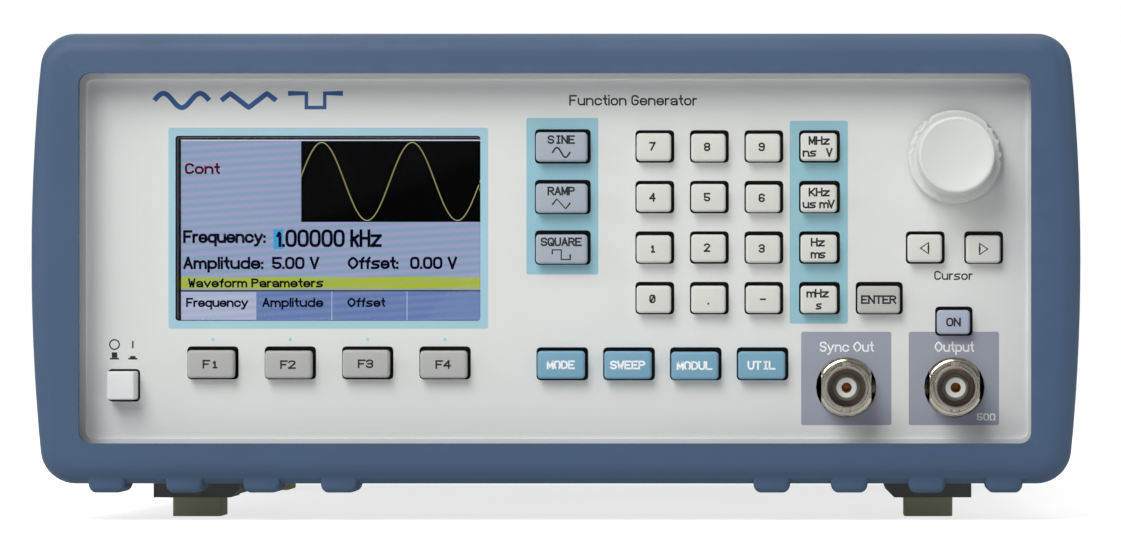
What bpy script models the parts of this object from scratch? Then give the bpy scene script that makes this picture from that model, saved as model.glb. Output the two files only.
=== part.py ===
"""Bench function generator, half a rack wide: a sheet-metal case in two rubber bumpers, a keypad front
with a colour display, a tuning knob and BNC sockets, and front feet with tilt legs.

Metres, +Z up, the front faces -Y. The origin is on the surface it stands on, under the middle of the box.
"""

import math

import bmesh
import bpy
from mathutils import Matrix, Vector

MM = 0.001
GAP = 0.3 * MM  # clearance between pieces that touch on the real object

# Overall and case sizes
OVERALL_DEPTH = 238 * MM  # knob face to the rear bumper's back
CASE_WIDTH = 213 * MM
CASE_HEIGHT = 88 * MM
CASE_DEPTH = 210 * MM
FOOT_HEIGHT = 13 * MM
SHEET = 1.2 * MM
CHASSIS_SHEET = 1.5 * MM
CHASSIS_LIP = 6 * MM

# Heights along Z
CASE_BOTTOM = FOOT_HEIGHT
CASE_TOP = CASE_BOTTOM + CASE_HEIGHT
MIDDLE = CASE_BOTTOM + CASE_HEIGHT / 2  # height of the front panel's centre

# Depths along Y
KNOB_HEIGHT = 13 * MM
PANEL_FACE = -OVERALL_DEPTH / 2 + KNOB_HEIGHT
PANEL_THICKNESS = 2.5 * MM
PANEL_BACK = PANEL_FACE + PANEL_THICKNESS
PANEL_RIM = 0.7 * MM  # how far the rim stands in front of the face
CASE_FRONT = PANEL_BACK + GAP
CASE_REAR = PANEL_FACE + CASE_DEPTH
REAR_PANEL_THICKNESS = 1.8 * MM

# Rubber bumpers
BUMPER_WIDTH = 222.6 * MM  # at the corners
BUMPER_BOW = 2.7 * MM  # how far each side bulges at mid-height
BUMPER_HEIGHT = 97.8 * MM
BUMPER_STEPS = 6
BUMPER_CORNER = 6.8 * MM  # the four corners, seen from the front
BUMPER_ROUNDING = 4.5 * MM  # the rim round its outer end
BUMPER_END_ROUNDING = 1 * MM  # at the end towards the middle of the case
OPENING_WIDTH = 208 * MM
OPENING_HEIGHT = 80.9 * MM
OPENING_CORNER = 2.4 * MM
FRONT_LIP = 8.5 * MM  # bumper in front of the panel's face
FRONT_SLEEVE = 26.5 * MM
REAR_SLEEVE = 32 * MM
TAB_START, TAB_PITCH, TABS_PER_SIDE = 46.9 * MM, 16.8 * MM, 4
TAB_POSITIONS = [side * (TAB_START + TAB_PITCH * step) for side in (-1, 1) for step in range(TABS_PER_SIDE)]
TAB_WIDTH = 8 * MM
TAB_INSET = 2.5 * MM  # from the bumper's outer end
TAB_LENGTH = 11 * MM
TAB_CORNER = 1.5 * MM
TAB_BOTTOM = 6.2 * MM  # height over the surface it stands on

# Front panel
PANEL_WIDTH = CASE_WIDTH - 0.2 * MM
PANEL_HEIGHT = CASE_HEIGHT - 0.2 * MM
FACE_WIDTH = 205.6 * MM  # inside the rim
FACE_HEIGHT = 78.5 * MM
WINDOW_WIDTH, WINDOW_HEIGHT = 66.6 * MM, 40.4 * MM
WINDOW_CENTRE = (-50.1 * MM, 6.7 * MM)

# Keys: X and Z are from the panel's centre
NUMBER_COLUMN, COLUMN_PITCH = 21.3 * MM, 11.9 * MM
TOP_ROW, ROW_PITCH = 24.56 * MM, 11.04 * MM
UNIT_COLUMN = 57.25 * MM
WAVE_COLUMN = 1.2 * MM
SOFT_COLUMN, SOFT_PITCH, SOFT_ROW = -75.2 * MM, 16.9 * MM, -22.7 * MM
MENU_COLUMN, MENU_PITCH, MENU_ROW = 1.1 * MM, 14.57 * MM, -22.9 * MM
KEY_HOLES = {
    "number": (8.5 * MM, 7.1 * MM),
    "unit": (8.95 * MM, 7.1 * MM),
    "wave": (12.2 * MM, 7.5 * MM),
    "soft": (11.2 * MM, 7.2 * MM),
    "menu": (11.3 * MM, 7.2 * MM),
    "enter": (10.3 * MM, 7.1 * MM),
    "output": (8.2 * MM, 6.4 * MM),
    "cursor": (8.5 * MM, 7.1 * MM),
}
KEY_COLOURS = {
    "number": (0.75, 0.76, 0.72),
    "unit": (0.75, 0.76, 0.72),
    "wave": (0.38, 0.45, 0.56),
    "soft": (0.41, 0.42, 0.40),
    "menu": (0.14, 0.35, 0.52),
    "enter": (0.30, 0.30, 0.29),
    "output": (0.40, 0.46, 0.61),
    "cursor": (0.75, 0.76, 0.72),
}
KEY_CLEARANCE = 0.36 * MM
KEY_SAG = 0.1 * MM  # the caps hang a little low in their holes
KEY_PROUD = 2.8 * MM
KEY_TRAVEL = 0.8 * MM
KEY_FLANGE = 0.8 * MM  # overlap behind the panel, each way
FLANGE_THICKNESS = 1 * MM
KEY_EDGE = 0.45 * MM  # chamfer round the cap's front
KEY_STEM = 3 * MM
OVERLAP = 0.2 * MM  # how far pieces that are joined run into each other
HOLE_CORNER = 0.8 * MM

# Key board behind the panel
BOARD_THICKNESS = 1.6 * MM
KEY_BOARD_FACE = -93 * MM
TACT_SIZE = 6 * MM
TACT_HEIGHT = 3.5 * MM

# Power button and switch
POWER_PLACE = (-94.6 * MM, -27.6 * MM)
POWER_HOLE = (7 * MM, 7.1 * MM)
POWER_PROUD = 5.3 * MM  # latched in
POWER_CLEARANCE = 0.45 * MM
POWER_DEPTH = 6 * MM  # behind the panel
POWER_EDGE = 0.4 * MM
ROD_SIDE = 4 * MM
SWITCH_FACE = -62 * MM
SWITCH_SIZE = (12 * MM, 26 * MM, 12.8 * MM)
PLUNGER_SIZE = (5 * MM, 4 * MM, 5 * MM)

# Tuning knob and encoder
KNOB_PLACE = (86.8 * MM, 22.2 * MM)
KNOB_SKIRT_RADIUS = 10.25 * MM
KNOB_FACE_RADIUS = 8.35 * MM
SHAFT_RADIUS = 3 * MM
BUSHING_RADIUS = 4.5 * MM
ENCODER_SIDE = 12.5 * MM
ENCODER_DEPTH = 6.5 * MM

# BNC sockets
SYNC_PLACE = (63.1 * MM, -28 * MM)
OUTPUT_PLACE = (86.7 * MM, -28 * MM)
TRIGGER_PLACE = (45 * MM, 4 * MM)
MODULATION_PLACE = (75 * MM, 4 * MM)
BNC_REACH = 12.5 * MM  # barrel in front of the panel it is on
BNC_THREAD_REACH = 3.4 * MM
BNC_BARREL_RADIUS = 4.8 * MM
BNC_BORE_RADIUS = 4.15 * MM
BNC_CHAMFER = 0.15 * MM
BNC_BORE_DEPTH = 8.5 * MM
BNC_THREAD_RADIUS = 6.3 * MM
BNC_FLAT = 5.5 * MM
BNC_HOLE_RADIUS = 6.6 * MM
BNC_FLANGE_RADIUS = 7.8 * MM
BNC_REAR_RADIUS = 5 * MM
BNC_TIP_TO_TIP = 11 * MM
BNC_STEPS = 24

# Rear connectors
INLET_PLACE = (-70 * MM, -4 * MM)
INLET_BODY = (28 * MM, 20 * MM)
INLET_FLANGE = (50 * MM, 24 * MM, 2.6 * MM)
INLET_BODY_DEPTH = 20 * MM
INLET_MOUTH = (24.4 * MM, 16.6 * MM)
INLET_MOUTH_DEPTH = 16 * MM
USB_PLACE_X = 5 * MM
USB_SIZE = (12 * MM, 17 * MM, 11 * MM)
USB_MOUTH = (8.6 * MM, 7.9 * MM)
USB_MOUTH_DEPTH = 9 * MM

# Boards inside
MAIN_BOARD_UNDERSIDE = 21 * MM
MAIN_BOARD = ((-26 * MM, 100 * MM), (-75 * MM, 99 * MM))  # X and Y ranges
SUPPLY_BOARD = ((-101 * MM, -32 * MM), (-68 * MM, 78 * MM))
BOARD_TOP = MAIN_BOARD_UNDERSIDE + BOARD_THICKNESS

# Vents
VENT_WIDTH = 2.4 * MM
VENT_PITCH = 6 * MM
SIDE_VENT_LENGTH, SIDE_VENTS = 34 * MM, 10
TOP_VENT_LENGTH, TOP_VENTS = 56 * MM, 12
REAR_VENT_LENGTH, REAR_VENTS = 16 * MM, 14

# Feet and tilt legs
FOOT_X = 81.5 * MM
REAR_FOOT_X = 86 * MM
FOOT_WIDTH = 19.2 * MM
FOOT_FRONT = -87.5 * MM
FOOT_LENGTH = 46.5 * MM
FOOT_STEP = 4.2 * MM  # the narrow pad below this height
PAD_WIDTH = 10.8 * MM
PAD_LENGTH = 11.6 * MM
FOOT_CHAMFER = 2 * MM
POCKET_WIDTH = 16 * MM
POCKET_START, POCKET_END = -74.6 * MM, -43.2 * MM
POCKET_TOP = 11 * MM
LEG_PIVOT = (-70.6 * MM, 8 * MM)  # Y and Z
LEG_WIDTH = 15.2 * MM
LEG_LENGTH = 26.4 * MM
LEG_THICKNESS = 4.2 * MM
STUB_RADIUS = 1.4 * MM
STUB_REACH = 8.9 * MM
REAR_FOOT_Y = 76 * MM
REAR_FOOT_LENGTH = 20 * MM

for old in list(bpy.data.objects):
    bpy.data.objects.remove(old, do_unlink=True)

PARTS = bpy.data.collections.new("function_generator")
CUTTERS = bpy.data.collections.new("cutters")
for group in (PARTS, CUTTERS):
    bpy.context.scene.collection.children.link(group)


def material(name, colour, roughness, metallic=0.0, alpha=1.0):
    made = bpy.data.materials.new(name)
    made.use_nodes = True
    shader = made.node_tree.nodes["Principled BSDF"]
    shader.inputs["Base Color"].default_value = (*colour, 1)
    shader.inputs["Roughness"].default_value = roughness
    shader.inputs["Metallic"].default_value = metallic
    shader.inputs["Alpha"].default_value = alpha
    made.diffuse_color = (*colour, alpha)
    return made


def add_box(bm, low, high, corner=0.0, along=1, segments=2):
    """Adds a box between two corners; the four edges that run along one axis can be rounded."""
    size = Vector(high) - Vector(low)
    centre = (Vector(high) + Vector(low)) / 2
    verts = bmesh.ops.create_cube(bm, size=1, matrix=Matrix.LocRotScale(centre, None, size))["verts"]
    if corner:
        edges = {edge for vert in verts for edge in vert.link_edges}
        across = [axis for axis in range(3) if axis != along]
        long_edges = [
            edge
            for edge in edges
            if all(abs(edge.verts[0].co[axis] - edge.verts[1].co[axis]) < 1e-7 for axis in across)
        ]
        bmesh.ops.bevel(bm, geom=long_edges, offset=corner, segments=segments, profile=0.5, affect="EDGES")


def add_block(bm, centre, size, corner=0.0, along=1, segments=2):
    half = Vector(size) / 2
    add_box(bm, Vector(centre) - half, Vector(centre) + half, corner, along, segments)


def add_cylinder(bm, start, end, radius, segments=16):
    """Adds a capped cylinder between two points."""
    start, end = Vector(start), Vector(end)
    turn = (end - start).to_track_quat("Z", "Y").to_matrix().to_4x4()
    place = Matrix.Translation((start + end) / 2) @ turn
    depth = (end - start).length
    bmesh.ops.create_cone(
        bm, cap_ends=True, segments=segments, radius1=radius, radius2=radius, depth=depth, matrix=place
    )


def finish_mesh(bm, name, origin=(0, 0, 0)):
    """The bmesh, drawn in world coordinates, as an object with its origin at the given point."""
    bmesh.ops.translate(bm, verts=bm.verts, vec=-Vector(origin))
    mesh = bpy.data.meshes.new(name)
    bm.to_mesh(mesh)
    bm.free()
    obj = bpy.data.objects.new(name, mesh)
    obj.location = origin
    return obj


def smooth(obj):
    obj.data.shade_smooth()
    obj.data.set_sharp_from_angle(angle=math.radians(35))


def part(obj, finish):
    obj.data.materials.append(finish)
    PARTS.objects.link(obj)
    return obj


def cutter(bm, name):
    obj = finish_mesh(bm, name)
    obj.hide_render = True
    obj.display_type = "WIRE"
    CUTTERS.objects.link(obj)
    return obj


def boolean(obj, other, operation, crossing=False):
    """Cuts the other shape from the object, or joins it on. Crossing shapes inside the other are merged."""
    step = obj.modifiers.new(operation.title(), "BOOLEAN")
    step.operation = operation
    step.object = other
    step.solver = "EXACT"
    step.use_self = crossing


def turned(name, profile, steps, place, facing):
    """A shape turned about Y. The profile gives (radius, distance towards the facing side) pairs."""
    mesh = bpy.data.meshes.new(name)
    bm = bmesh.new()
    verts = [bm.verts.new((radius, 0, reach)) for radius, reach in profile]
    for first, second in zip(verts, verts[1:]):
        bm.edges.new((first, second))
    bm.to_mesh(mesh)
    bm.free()
    obj = bpy.data.objects.new(name, mesh)
    obj.location = place
    obj.rotation_euler = (-facing * math.pi / 2, 0, 0)
    screw = obj.modifiers.new("Turn", "SCREW")
    screw.steps = screw.render_steps = steps
    screw.use_merge_vertices = True
    screw.merge_threshold = 0.00001
    screw.use_smooth_shade = True
    return obj


def key_layout():
    """Every key as (name, x, z, kind), from the panel's centre."""
    rows = [TOP_ROW - row * ROW_PITCH for row in range(4)]
    columns = [NUMBER_COLUMN + column * COLUMN_PITCH for column in range(3)]
    numbers = ("7", "8", "9", "4", "5", "6", "1", "2", "3", "0", "point", "minus")
    keys = [
        (f"key_{label}", columns[count % 3], rows[count // 3], "number")
        for count, label in enumerate(numbers)
    ]
    units = ("unit_mega", "unit_kilo", "unit_hertz", "unit_milli")
    keys += [(f"key_{label}", UNIT_COLUMN, row, "unit") for label, row in zip(units, rows)]
    waves = ("sine", "ramp", "square")
    keys += [(f"key_{label}", WAVE_COLUMN, row, "wave") for label, row in zip(waves, rows)]
    softs = ("f1", "f2", "f3", "f4")
    keys += [
        (f"key_{label}", SOFT_COLUMN + count * SOFT_PITCH, SOFT_ROW, "soft")
        for count, label in enumerate(softs)
    ]
    menus = ("mode", "sweep", "modulation", "utility")
    keys += [
        (f"key_{label}", MENU_COLUMN + count * MENU_PITCH, MENU_ROW, "menu")
        for count, label in enumerate(menus)
    ]
    keys += [
        ("key_enter", 70.3 * MM, rows[3], "enter"),
        ("key_output_on", 86.6 * MM, -13.6 * MM, "output"),
        ("key_cursor_left", 80.35 * MM, rows[2], "cursor"),
        ("key_cursor_right", 93.1 * MM, rows[2], "cursor"),
    ]
    return keys


def bevel_front(bm, front, width):
    """Chamfers the edges round the flat face at this place along Y."""
    rim = [edge for edge in bm.edges if all(abs(vert.co.y - front) < 1e-6 for vert in edge.verts)]
    bmesh.ops.bevel(bm, geom=rim, offset=width, segments=1, profile=0.5, affect="EDGES")


def make_key(name, x, z, kind, finish):
    """Cap through the panel, flange that holds it in behind, and a stem that reaches its switch."""
    width, height = (side - 2 * KEY_CLEARANCE for side in KEY_HOLES[kind])
    flange_width, flange_height = (side + 2 * KEY_FLANGE for side in KEY_HOLES[kind])
    centre_z = MIDDLE + z - KEY_SAG
    front = PANEL_FACE - KEY_PROUD
    flange_front = PANEL_BACK + GAP
    flange_back = flange_front + FLANGE_THICKNESS
    stem_end = KEY_BOARD_FACE - TACT_HEIGHT - KEY_TRAVEL - GAP

    bm = bmesh.new()
    add_box(
        bm,
        (x - width / 2, front, centre_z - height / 2),
        (x + width / 2, flange_front + OVERLAP, centre_z + height / 2),
        corner=HOLE_CORNER,
    )
    bevel_front(bm, front, KEY_EDGE)
    cap = finish_mesh(bm, name, (x, front, centre_z))

    bm = bmesh.new()
    add_box(
        bm,
        (x - flange_width / 2, flange_front, centre_z - flange_height / 2),
        (x + flange_width / 2, flange_back, centre_z + flange_height / 2),
    )
    boolean(cap, cutter(bm, name + "_flange"), "UNION")
    bm = bmesh.new()
    half_stem = KEY_STEM / 2
    low = (x - half_stem, flange_back - OVERLAP, centre_z - half_stem)
    high = (x + half_stem, stem_end, centre_z + half_stem)
    add_box(bm, low, high)
    boolean(cap, cutter(bm, name + "_stem"), "UNION")
    return part(cap, finish)


def make_keys():
    finishes = {kind: material(f"{kind}_key", colour, 0.45) for kind, colour in KEY_COLOURS.items()}
    for name, x, z, kind in key_layout():
        make_key(name, x, z, kind, finishes[kind])


def make_front_panel():
    """A moulded plate with a raised rim, holes for the keys and sockets, and the display opening."""
    bm = bmesh.new()
    half_width, half_height = PANEL_WIDTH / 2, PANEL_HEIGHT / 2
    add_box(
        bm,
        (-half_width, PANEL_FACE - PANEL_RIM, MIDDLE - half_height),
        (half_width, PANEL_BACK, MIDDLE + half_height),
        corner=3 * MM,
    )
    panel = finish_mesh(bm, "front_panel", (0, PANEL_FACE, MIDDLE))

    bm = bmesh.new()
    depth = 4 * MM
    size = (FACE_WIDTH, depth, FACE_HEIGHT)
    add_block(bm, (0, PANEL_FACE - depth / 2, MIDDLE), size, corner=1.6 * MM, segments=3)
    boolean(panel, cutter(bm, "panel_face_cutter"), "DIFFERENCE")

    bm = bmesh.new()
    through = 10 * MM
    holes = [(x, z, KEY_HOLES[kind]) for _, x, z, kind in key_layout()] + [(*POWER_PLACE, POWER_HOLE)]
    for x, z, (width, height) in holes:
        add_block(bm, (x, PANEL_FACE, MIDDLE + z), (width, through, height), corner=HOLE_CORNER)
    add_block(
        bm,
        (WINDOW_CENTRE[0], PANEL_FACE, MIDDLE + WINDOW_CENTRE[1]),
        (WINDOW_WIDTH, through, WINDOW_HEIGHT),
        corner=0.6 * MM,
    )
    for (x, z), radius in (
        (SYNC_PLACE, BNC_HOLE_RADIUS),
        (OUTPUT_PLACE, BNC_HOLE_RADIUS),
        (KNOB_PLACE, BUSHING_RADIUS + GAP),
    ):
        start, end = PANEL_FACE - through / 2, PANEL_FACE + through / 2
        add_cylinder(bm, (x, start, MIDDLE + z), (x, end, MIDDLE + z), radius, 24)
    boolean(panel, cutter(bm, "panel_hole_cutter"), "DIFFERENCE")
    part(panel, material("panel_plastic", (0.66, 0.67, 0.65), 0.5))


def runs_along_y(edge):
    first, second = (vert.co for vert in edge.verts)
    return abs(first.x - second.x) < 1e-6 and abs(first.z - second.z) < 1e-6


def end_rim(bm, level):
    """The edges round the flat end at this place along Y."""
    bm.normal_update()
    at_level = [edge for edge in bm.edges if all(abs(vert.co.y - level) < 1e-6 for vert in edge.verts)]
    return [edge for edge in at_level if any(abs(face.normal.y) < 0.5 for face in edge.link_faces)]


def bowed_block(outer, inner):
    """The bumper's outside: a block with bulging sides, rounded corners and a rounded rim."""
    bm = bmesh.new()
    size = (BUMPER_WIDTH, abs(outer - inner), BUMPER_HEIGHT)
    add_block(bm, (0, (outer + inner) / 2, MIDDLE), size)
    for step in range(1, BUMPER_STEPS):
        level = (0, 0, MIDDLE + BUMPER_HEIGHT * (step / BUMPER_STEPS - 0.5))
        everything = bm.verts[:] + bm.edges[:] + bm.faces[:]
        bmesh.ops.bisect_plane(bm, geom=everything, plane_co=level, plane_no=(0, 0, 1))
    for vert in bm.verts:
        level = (vert.co.z - MIDDLE) / (BUMPER_HEIGHT / 2)
        vert.co.x += math.copysign(BUMPER_BOW * (1 - level**2), vert.co.x)
    along = [edge for edge in bm.edges if runs_along_y(edge)]
    corners = [edge for edge in along if abs(edge.verts[0].co.z - MIDDLE) > 0.49 * BUMPER_HEIGHT]
    bmesh.ops.bevel(bm, geom=corners, offset=BUMPER_CORNER, segments=4, profile=0.5, affect="EDGES")
    for end, rounding, segments in ((outer, BUMPER_ROUNDING, 3), (inner, BUMPER_END_ROUNDING, 1)):
        rim = end_rim(bm, end)
        bmesh.ops.bevel(bm, geom=rim, offset=rounding, segments=segments, profile=0.5, affect="EDGES")
    return bm


def make_bumper(name, outer, lip, inner):
    """A rubber sleeve round one end of the case. Outer, lip and inner are its faces' places along Y."""
    depth = abs(outer - inner)
    toward_case = math.copysign(1, inner - outer)
    bumper = finish_mesh(bowed_block(outer, inner), name, (0, (outer + inner) / 2, MIDDLE))

    bm = bmesh.new()
    tab_start = outer + toward_case * TAB_INSET
    low_y, high_y = sorted((tab_start, tab_start + toward_case * TAB_LENGTH))
    for x in TAB_POSITIONS:
        low = (x - TAB_WIDTH / 2, low_y, TAB_BOTTOM)
        high = (x + TAB_WIDTH / 2, high_y, CASE_BOTTOM - 1.5 * MM)
        add_box(bm, low, high, corner=TAB_CORNER)
    boolean(bumper, cutter(bm, name + "_tabs"), "UNION")

    bm = bmesh.new()
    size = (OPENING_WIDTH, 3 * depth, OPENING_HEIGHT)
    add_block(bm, (0, outer, MIDDLE), size, corner=OPENING_CORNER, segments=3)
    boolean(bumper, cutter(bm, name + "_opening"), "DIFFERENCE")

    bm = bmesh.new()
    past_end = inner + toward_case * 5 * MM
    half_width, half_height = CASE_WIDTH / 2 + GAP, CASE_HEIGHT / 2 + GAP
    low_y, high_y = sorted((lip, past_end))
    add_box(bm, (-half_width, low_y, MIDDLE - half_height), (half_width, high_y, MIDDLE + half_height))
    boolean(bumper, cutter(bm, name + "_pocket"), "DIFFERENCE")
    return bumper


def make_bumpers():
    rubber = material("bumper_rubber", (0.085, 0.14, 0.22), 0.65)
    outer = PANEL_FACE - FRONT_LIP
    part(make_bumper("front_bumper", outer, PANEL_FACE - PANEL_RIM - GAP, outer + FRONT_SLEEVE), rubber)
    outer = OVERALL_DEPTH / 2
    part(make_bumper("rear_bumper", outer, CASE_REAR + GAP, outer - REAR_SLEEVE), rubber)


def make_top_cover():
    """An inverted U of sheet steel with rounded shoulders and rows of vent slots."""
    half = CASE_WIDTH / 2
    bm = bmesh.new()
    low = (-half, CASE_FRONT, CASE_BOTTOM - 5 * MM)
    add_box(bm, low, (half, CASE_REAR, CASE_TOP), corner=3 * MM, segments=5)
    cover = finish_mesh(bm, "top_cover", (0, CASE_FRONT, CASE_TOP))

    bm = bmesh.new()
    inner = half - SHEET
    add_box(
        bm,
        (-inner, CASE_FRONT - 5 * MM, CASE_BOTTOM - 10 * MM),
        (inner, CASE_REAR + 5 * MM, CASE_TOP - SHEET),
        corner=2 * MM,
        segments=4,
    )
    boolean(cover, cutter(bm, "cover_inside_cutter"), "DIFFERENCE")

    bm = bmesh.new()
    add_box(bm, (-CASE_WIDTH, -CASE_DEPTH, CASE_BOTTOM - 20 * MM), (CASE_WIDTH, CASE_DEPTH, CASE_BOTTOM))
    boolean(cover, cutter(bm, "cover_bottom_cutter"), "DIFFERENCE")

    bm = bmesh.new()
    slot_end = VENT_WIDTH / 2 - 0.05 * MM
    for count in range(SIDE_VENTS):
        y = 12 * MM + count * VENT_PITCH
        size = (CASE_WIDTH * 1.1, VENT_WIDTH, SIDE_VENT_LENGTH)
        add_block(bm, (0, y, MIDDLE - 6 * MM), size, corner=slot_end, along=0)
    for count in range(TOP_VENTS):
        y = -2 * MM + count * VENT_PITCH
        add_block(bm, (0, y, CASE_TOP), (TOP_VENT_LENGTH, VENT_WIDTH, 8 * MM), corner=slot_end, along=2)
    boolean(cover, cutter(bm, "cover_vent_cutter"), "DIFFERENCE")
    part(cover, material("cover_paint", (0.62, 0.62, 0.58), 0.55))


def make_base_chassis():
    """A shallow tray that the boards stand on."""
    half = CASE_WIDTH / 2 - SHEET - GAP
    rear = CASE_REAR - REAR_PANEL_THICKNESS - 2 * GAP
    bm = bmesh.new()
    add_box(bm, (-half, CASE_FRONT, CASE_BOTTOM), (half, rear, CASE_BOTTOM + CHASSIS_LIP))
    chassis = finish_mesh(bm, "base_chassis", (0, 0, CASE_BOTTOM))

    bm = bmesh.new()
    wall = CHASSIS_SHEET
    add_box(
        bm,
        (-half + wall, CASE_FRONT + wall, CASE_BOTTOM + wall),
        (half - wall, rear - wall, CASE_BOTTOM + 30 * MM),
    )
    boolean(chassis, cutter(bm, "chassis_inside_cutter"), "DIFFERENCE")

    bm = bmesh.new()
    for (low_x, high_x), (low_y, high_y) in (MAIN_BOARD, SUPPLY_BOARD):
        for x in (low_x + 6 * MM, high_x - 6 * MM):
            for y in (low_y + 6 * MM, high_y - 6 * MM):
                start = (x, y, CASE_BOTTOM + 0.5 * MM)
                add_cylinder(bm, start, (x, y, MAIN_BOARD_UNDERSIDE - GAP), 3 * MM, 10)
    boolean(chassis, cutter(bm, "chassis_standoffs"), "UNION")

    bm = bmesh.new()
    for count in range(TOP_VENTS):
        y = -2 * MM + count * VENT_PITCH
        add_block(bm, (10 * MM, y, CASE_BOTTOM), (60 * MM, VENT_WIDTH, 8 * MM))
    boolean(chassis, cutter(bm, "chassis_vent_cutter"), "DIFFERENCE")
    part(chassis, material("chassis_steel", (0.55, 0.56, 0.57), 0.35, metallic=0.9))


def make_rear_panel():
    """The plate between the cover's legs, with cut-outs for the sockets and a row of vents."""
    half = CASE_WIDTH / 2 - SHEET - GAP
    outer = CASE_REAR
    inner = outer - REAR_PANEL_THICKNESS
    bm = bmesh.new()
    bottom = CASE_BOTTOM
    top = CASE_TOP - SHEET - GAP
    add_box(bm, (-half, inner, bottom), (half, outer, top), corner=1.8 * MM)
    panel = finish_mesh(bm, "rear_panel", (0, outer, MIDDLE))

    bm = bmesh.new()
    through = 10 * MM
    for x, z in (TRIGGER_PLACE, MODULATION_PLACE):
        start, end = (x, outer - through, MIDDLE + z), (x, outer + through, MIDDLE + z)
        add_cylinder(bm, start, end, BNC_HOLE_RADIUS, 24)
    x, z = INLET_PLACE
    cut = 2 * GAP
    add_block(bm, (x, outer, MIDDLE + z), (INLET_BODY[0] + cut, through, INLET_BODY[1] + cut))
    usb_z = BOARD_TOP + GAP + USB_SIZE[2] / 2
    add_block(bm, (USB_PLACE_X, outer, usb_z), (USB_SIZE[0] + cut, through, USB_SIZE[2] + cut))
    for count in range(REAR_VENTS):
        vent_x = -6 * MM + (count - (REAR_VENTS - 1) / 2) * VENT_PITCH
        size = (VENT_WIDTH, through, REAR_VENT_LENGTH)
        add_block(bm, (vent_x, outer, MIDDLE + 26 * MM), size, corner=VENT_WIDTH / 2 - 0.05 * MM)
    boolean(panel, cutter(bm, "rear_panel_cutter"), "DIFFERENCE")
    part(panel, material("rear_panel_paint", (0.60, 0.60, 0.57), 0.5))


def bnc_profile():
    """Half section of a BNC socket: distances are from the outer face of the panel it is on."""
    return (
        (0, BNC_REACH - BNC_BORE_DEPTH),
        (BNC_BORE_RADIUS, BNC_REACH - BNC_BORE_DEPTH),
        (BNC_BORE_RADIUS, BNC_REACH),
        (BNC_BARREL_RADIUS - BNC_CHAMFER, BNC_REACH),
        (BNC_BARREL_RADIUS, BNC_REACH - BNC_CHAMFER),
        (BNC_BARREL_RADIUS, BNC_THREAD_REACH),
        (BNC_THREAD_RADIUS, BNC_THREAD_REACH - 0.4 * MM),
        (BNC_THREAD_RADIUS, -PANEL_THICKNESS - GAP),
        (BNC_FLANGE_RADIUS, -PANEL_THICKNESS - GAP),
        (BNC_FLANGE_RADIUS, -PANEL_THICKNESS - 2.5 * MM),
        (BNC_REAR_RADIUS, -PANEL_THICKNESS - 2.5 * MM),
        (BNC_REAR_RADIUS, -18 * MM),
        (0, -18 * MM),
    )


def make_bnc(name, x, z, face, facing, finish):
    """A bayonet socket: a threaded body through the panel and a barrel with two lugs."""
    height = MIDDLE + z
    socket = turned(name, bnc_profile(), BNC_STEPS, (x, face, height), facing)

    bm = bmesh.new()
    lug_y = face + facing * (BNC_REACH - 4.2 * MM)
    for side in (-1, 1):
        start = (x, lug_y, height + side * (BNC_BARREL_RADIUS - 0.35 * MM))
        end = (x, lug_y, height + side * BNC_TIP_TO_TIP / 2)
        add_cylinder(bm, start, end, 0.95 * MM, 8)
    boolean(socket, cutter(bm, name + "_lugs"), "UNION")

    bm = bmesh.new()
    for side in (-1, 1):
        low_y, high_y = sorted((face - facing * (PANEL_THICKNESS + GAP), face + facing * 6 * MM))
        low_x, high_x = sorted((x + side * BNC_FLAT, x + side * 9 * MM))
        add_box(bm, (low_x, low_y, height - 9 * MM), (high_x, high_y, height + 9 * MM))
    boolean(socket, cutter(bm, name + "_flats"), "DIFFERENCE")
    part(socket, finish)


def make_bncs():
    nickel = material("nickel", (0.66, 0.65, 0.60), 0.25, metallic=1.0)
    make_bnc("bnc_sync", *SYNC_PLACE, PANEL_FACE, -1, nickel)
    make_bnc("bnc_output", *OUTPUT_PLACE, PANEL_FACE, -1, nickel)
    make_bnc("bnc_trigger_in", *TRIGGER_PLACE, CASE_REAR, 1, nickel)
    make_bnc("bnc_modulation_in", *MODULATION_PLACE, CASE_REAR, 1, nickel)


def make_power_button():
    """A square push-push button on a long rod to the mains switch. It is drawn latched in."""
    x, z = POWER_PLACE
    height = MIDDLE + z
    half_width, half_height = (side / 2 - POWER_CLEARANCE for side in POWER_HOLE)
    front = PANEL_FACE - POWER_PROUD
    back = PANEL_BACK + POWER_DEPTH
    bm = bmesh.new()
    low = (x - half_width, front, height - half_height)
    add_box(bm, low, (x + half_width, back, height + half_height), corner=0.5 * MM)
    bevel_front(bm, front, POWER_EDGE)
    button = finish_mesh(bm, "power_button", (x, front, height))
    part(button, material("power_key", (0.80, 0.84, 0.84), 0.4))

    bm = bmesh.new()
    low = (x - ROD_SIDE / 2, back + GAP, height - ROD_SIDE / 2)
    high = (x + ROD_SIDE / 2, SWITCH_FACE - GAP, height + ROD_SIDE / 2)
    add_box(bm, low, high, corner=0.6 * MM, segments=1)
    rod = finish_mesh(bm, "power_push_rod", (x, back + GAP, height))
    part(rod, material("rod_plastic", (0.04, 0.04, 0.045), 0.5))


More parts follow.
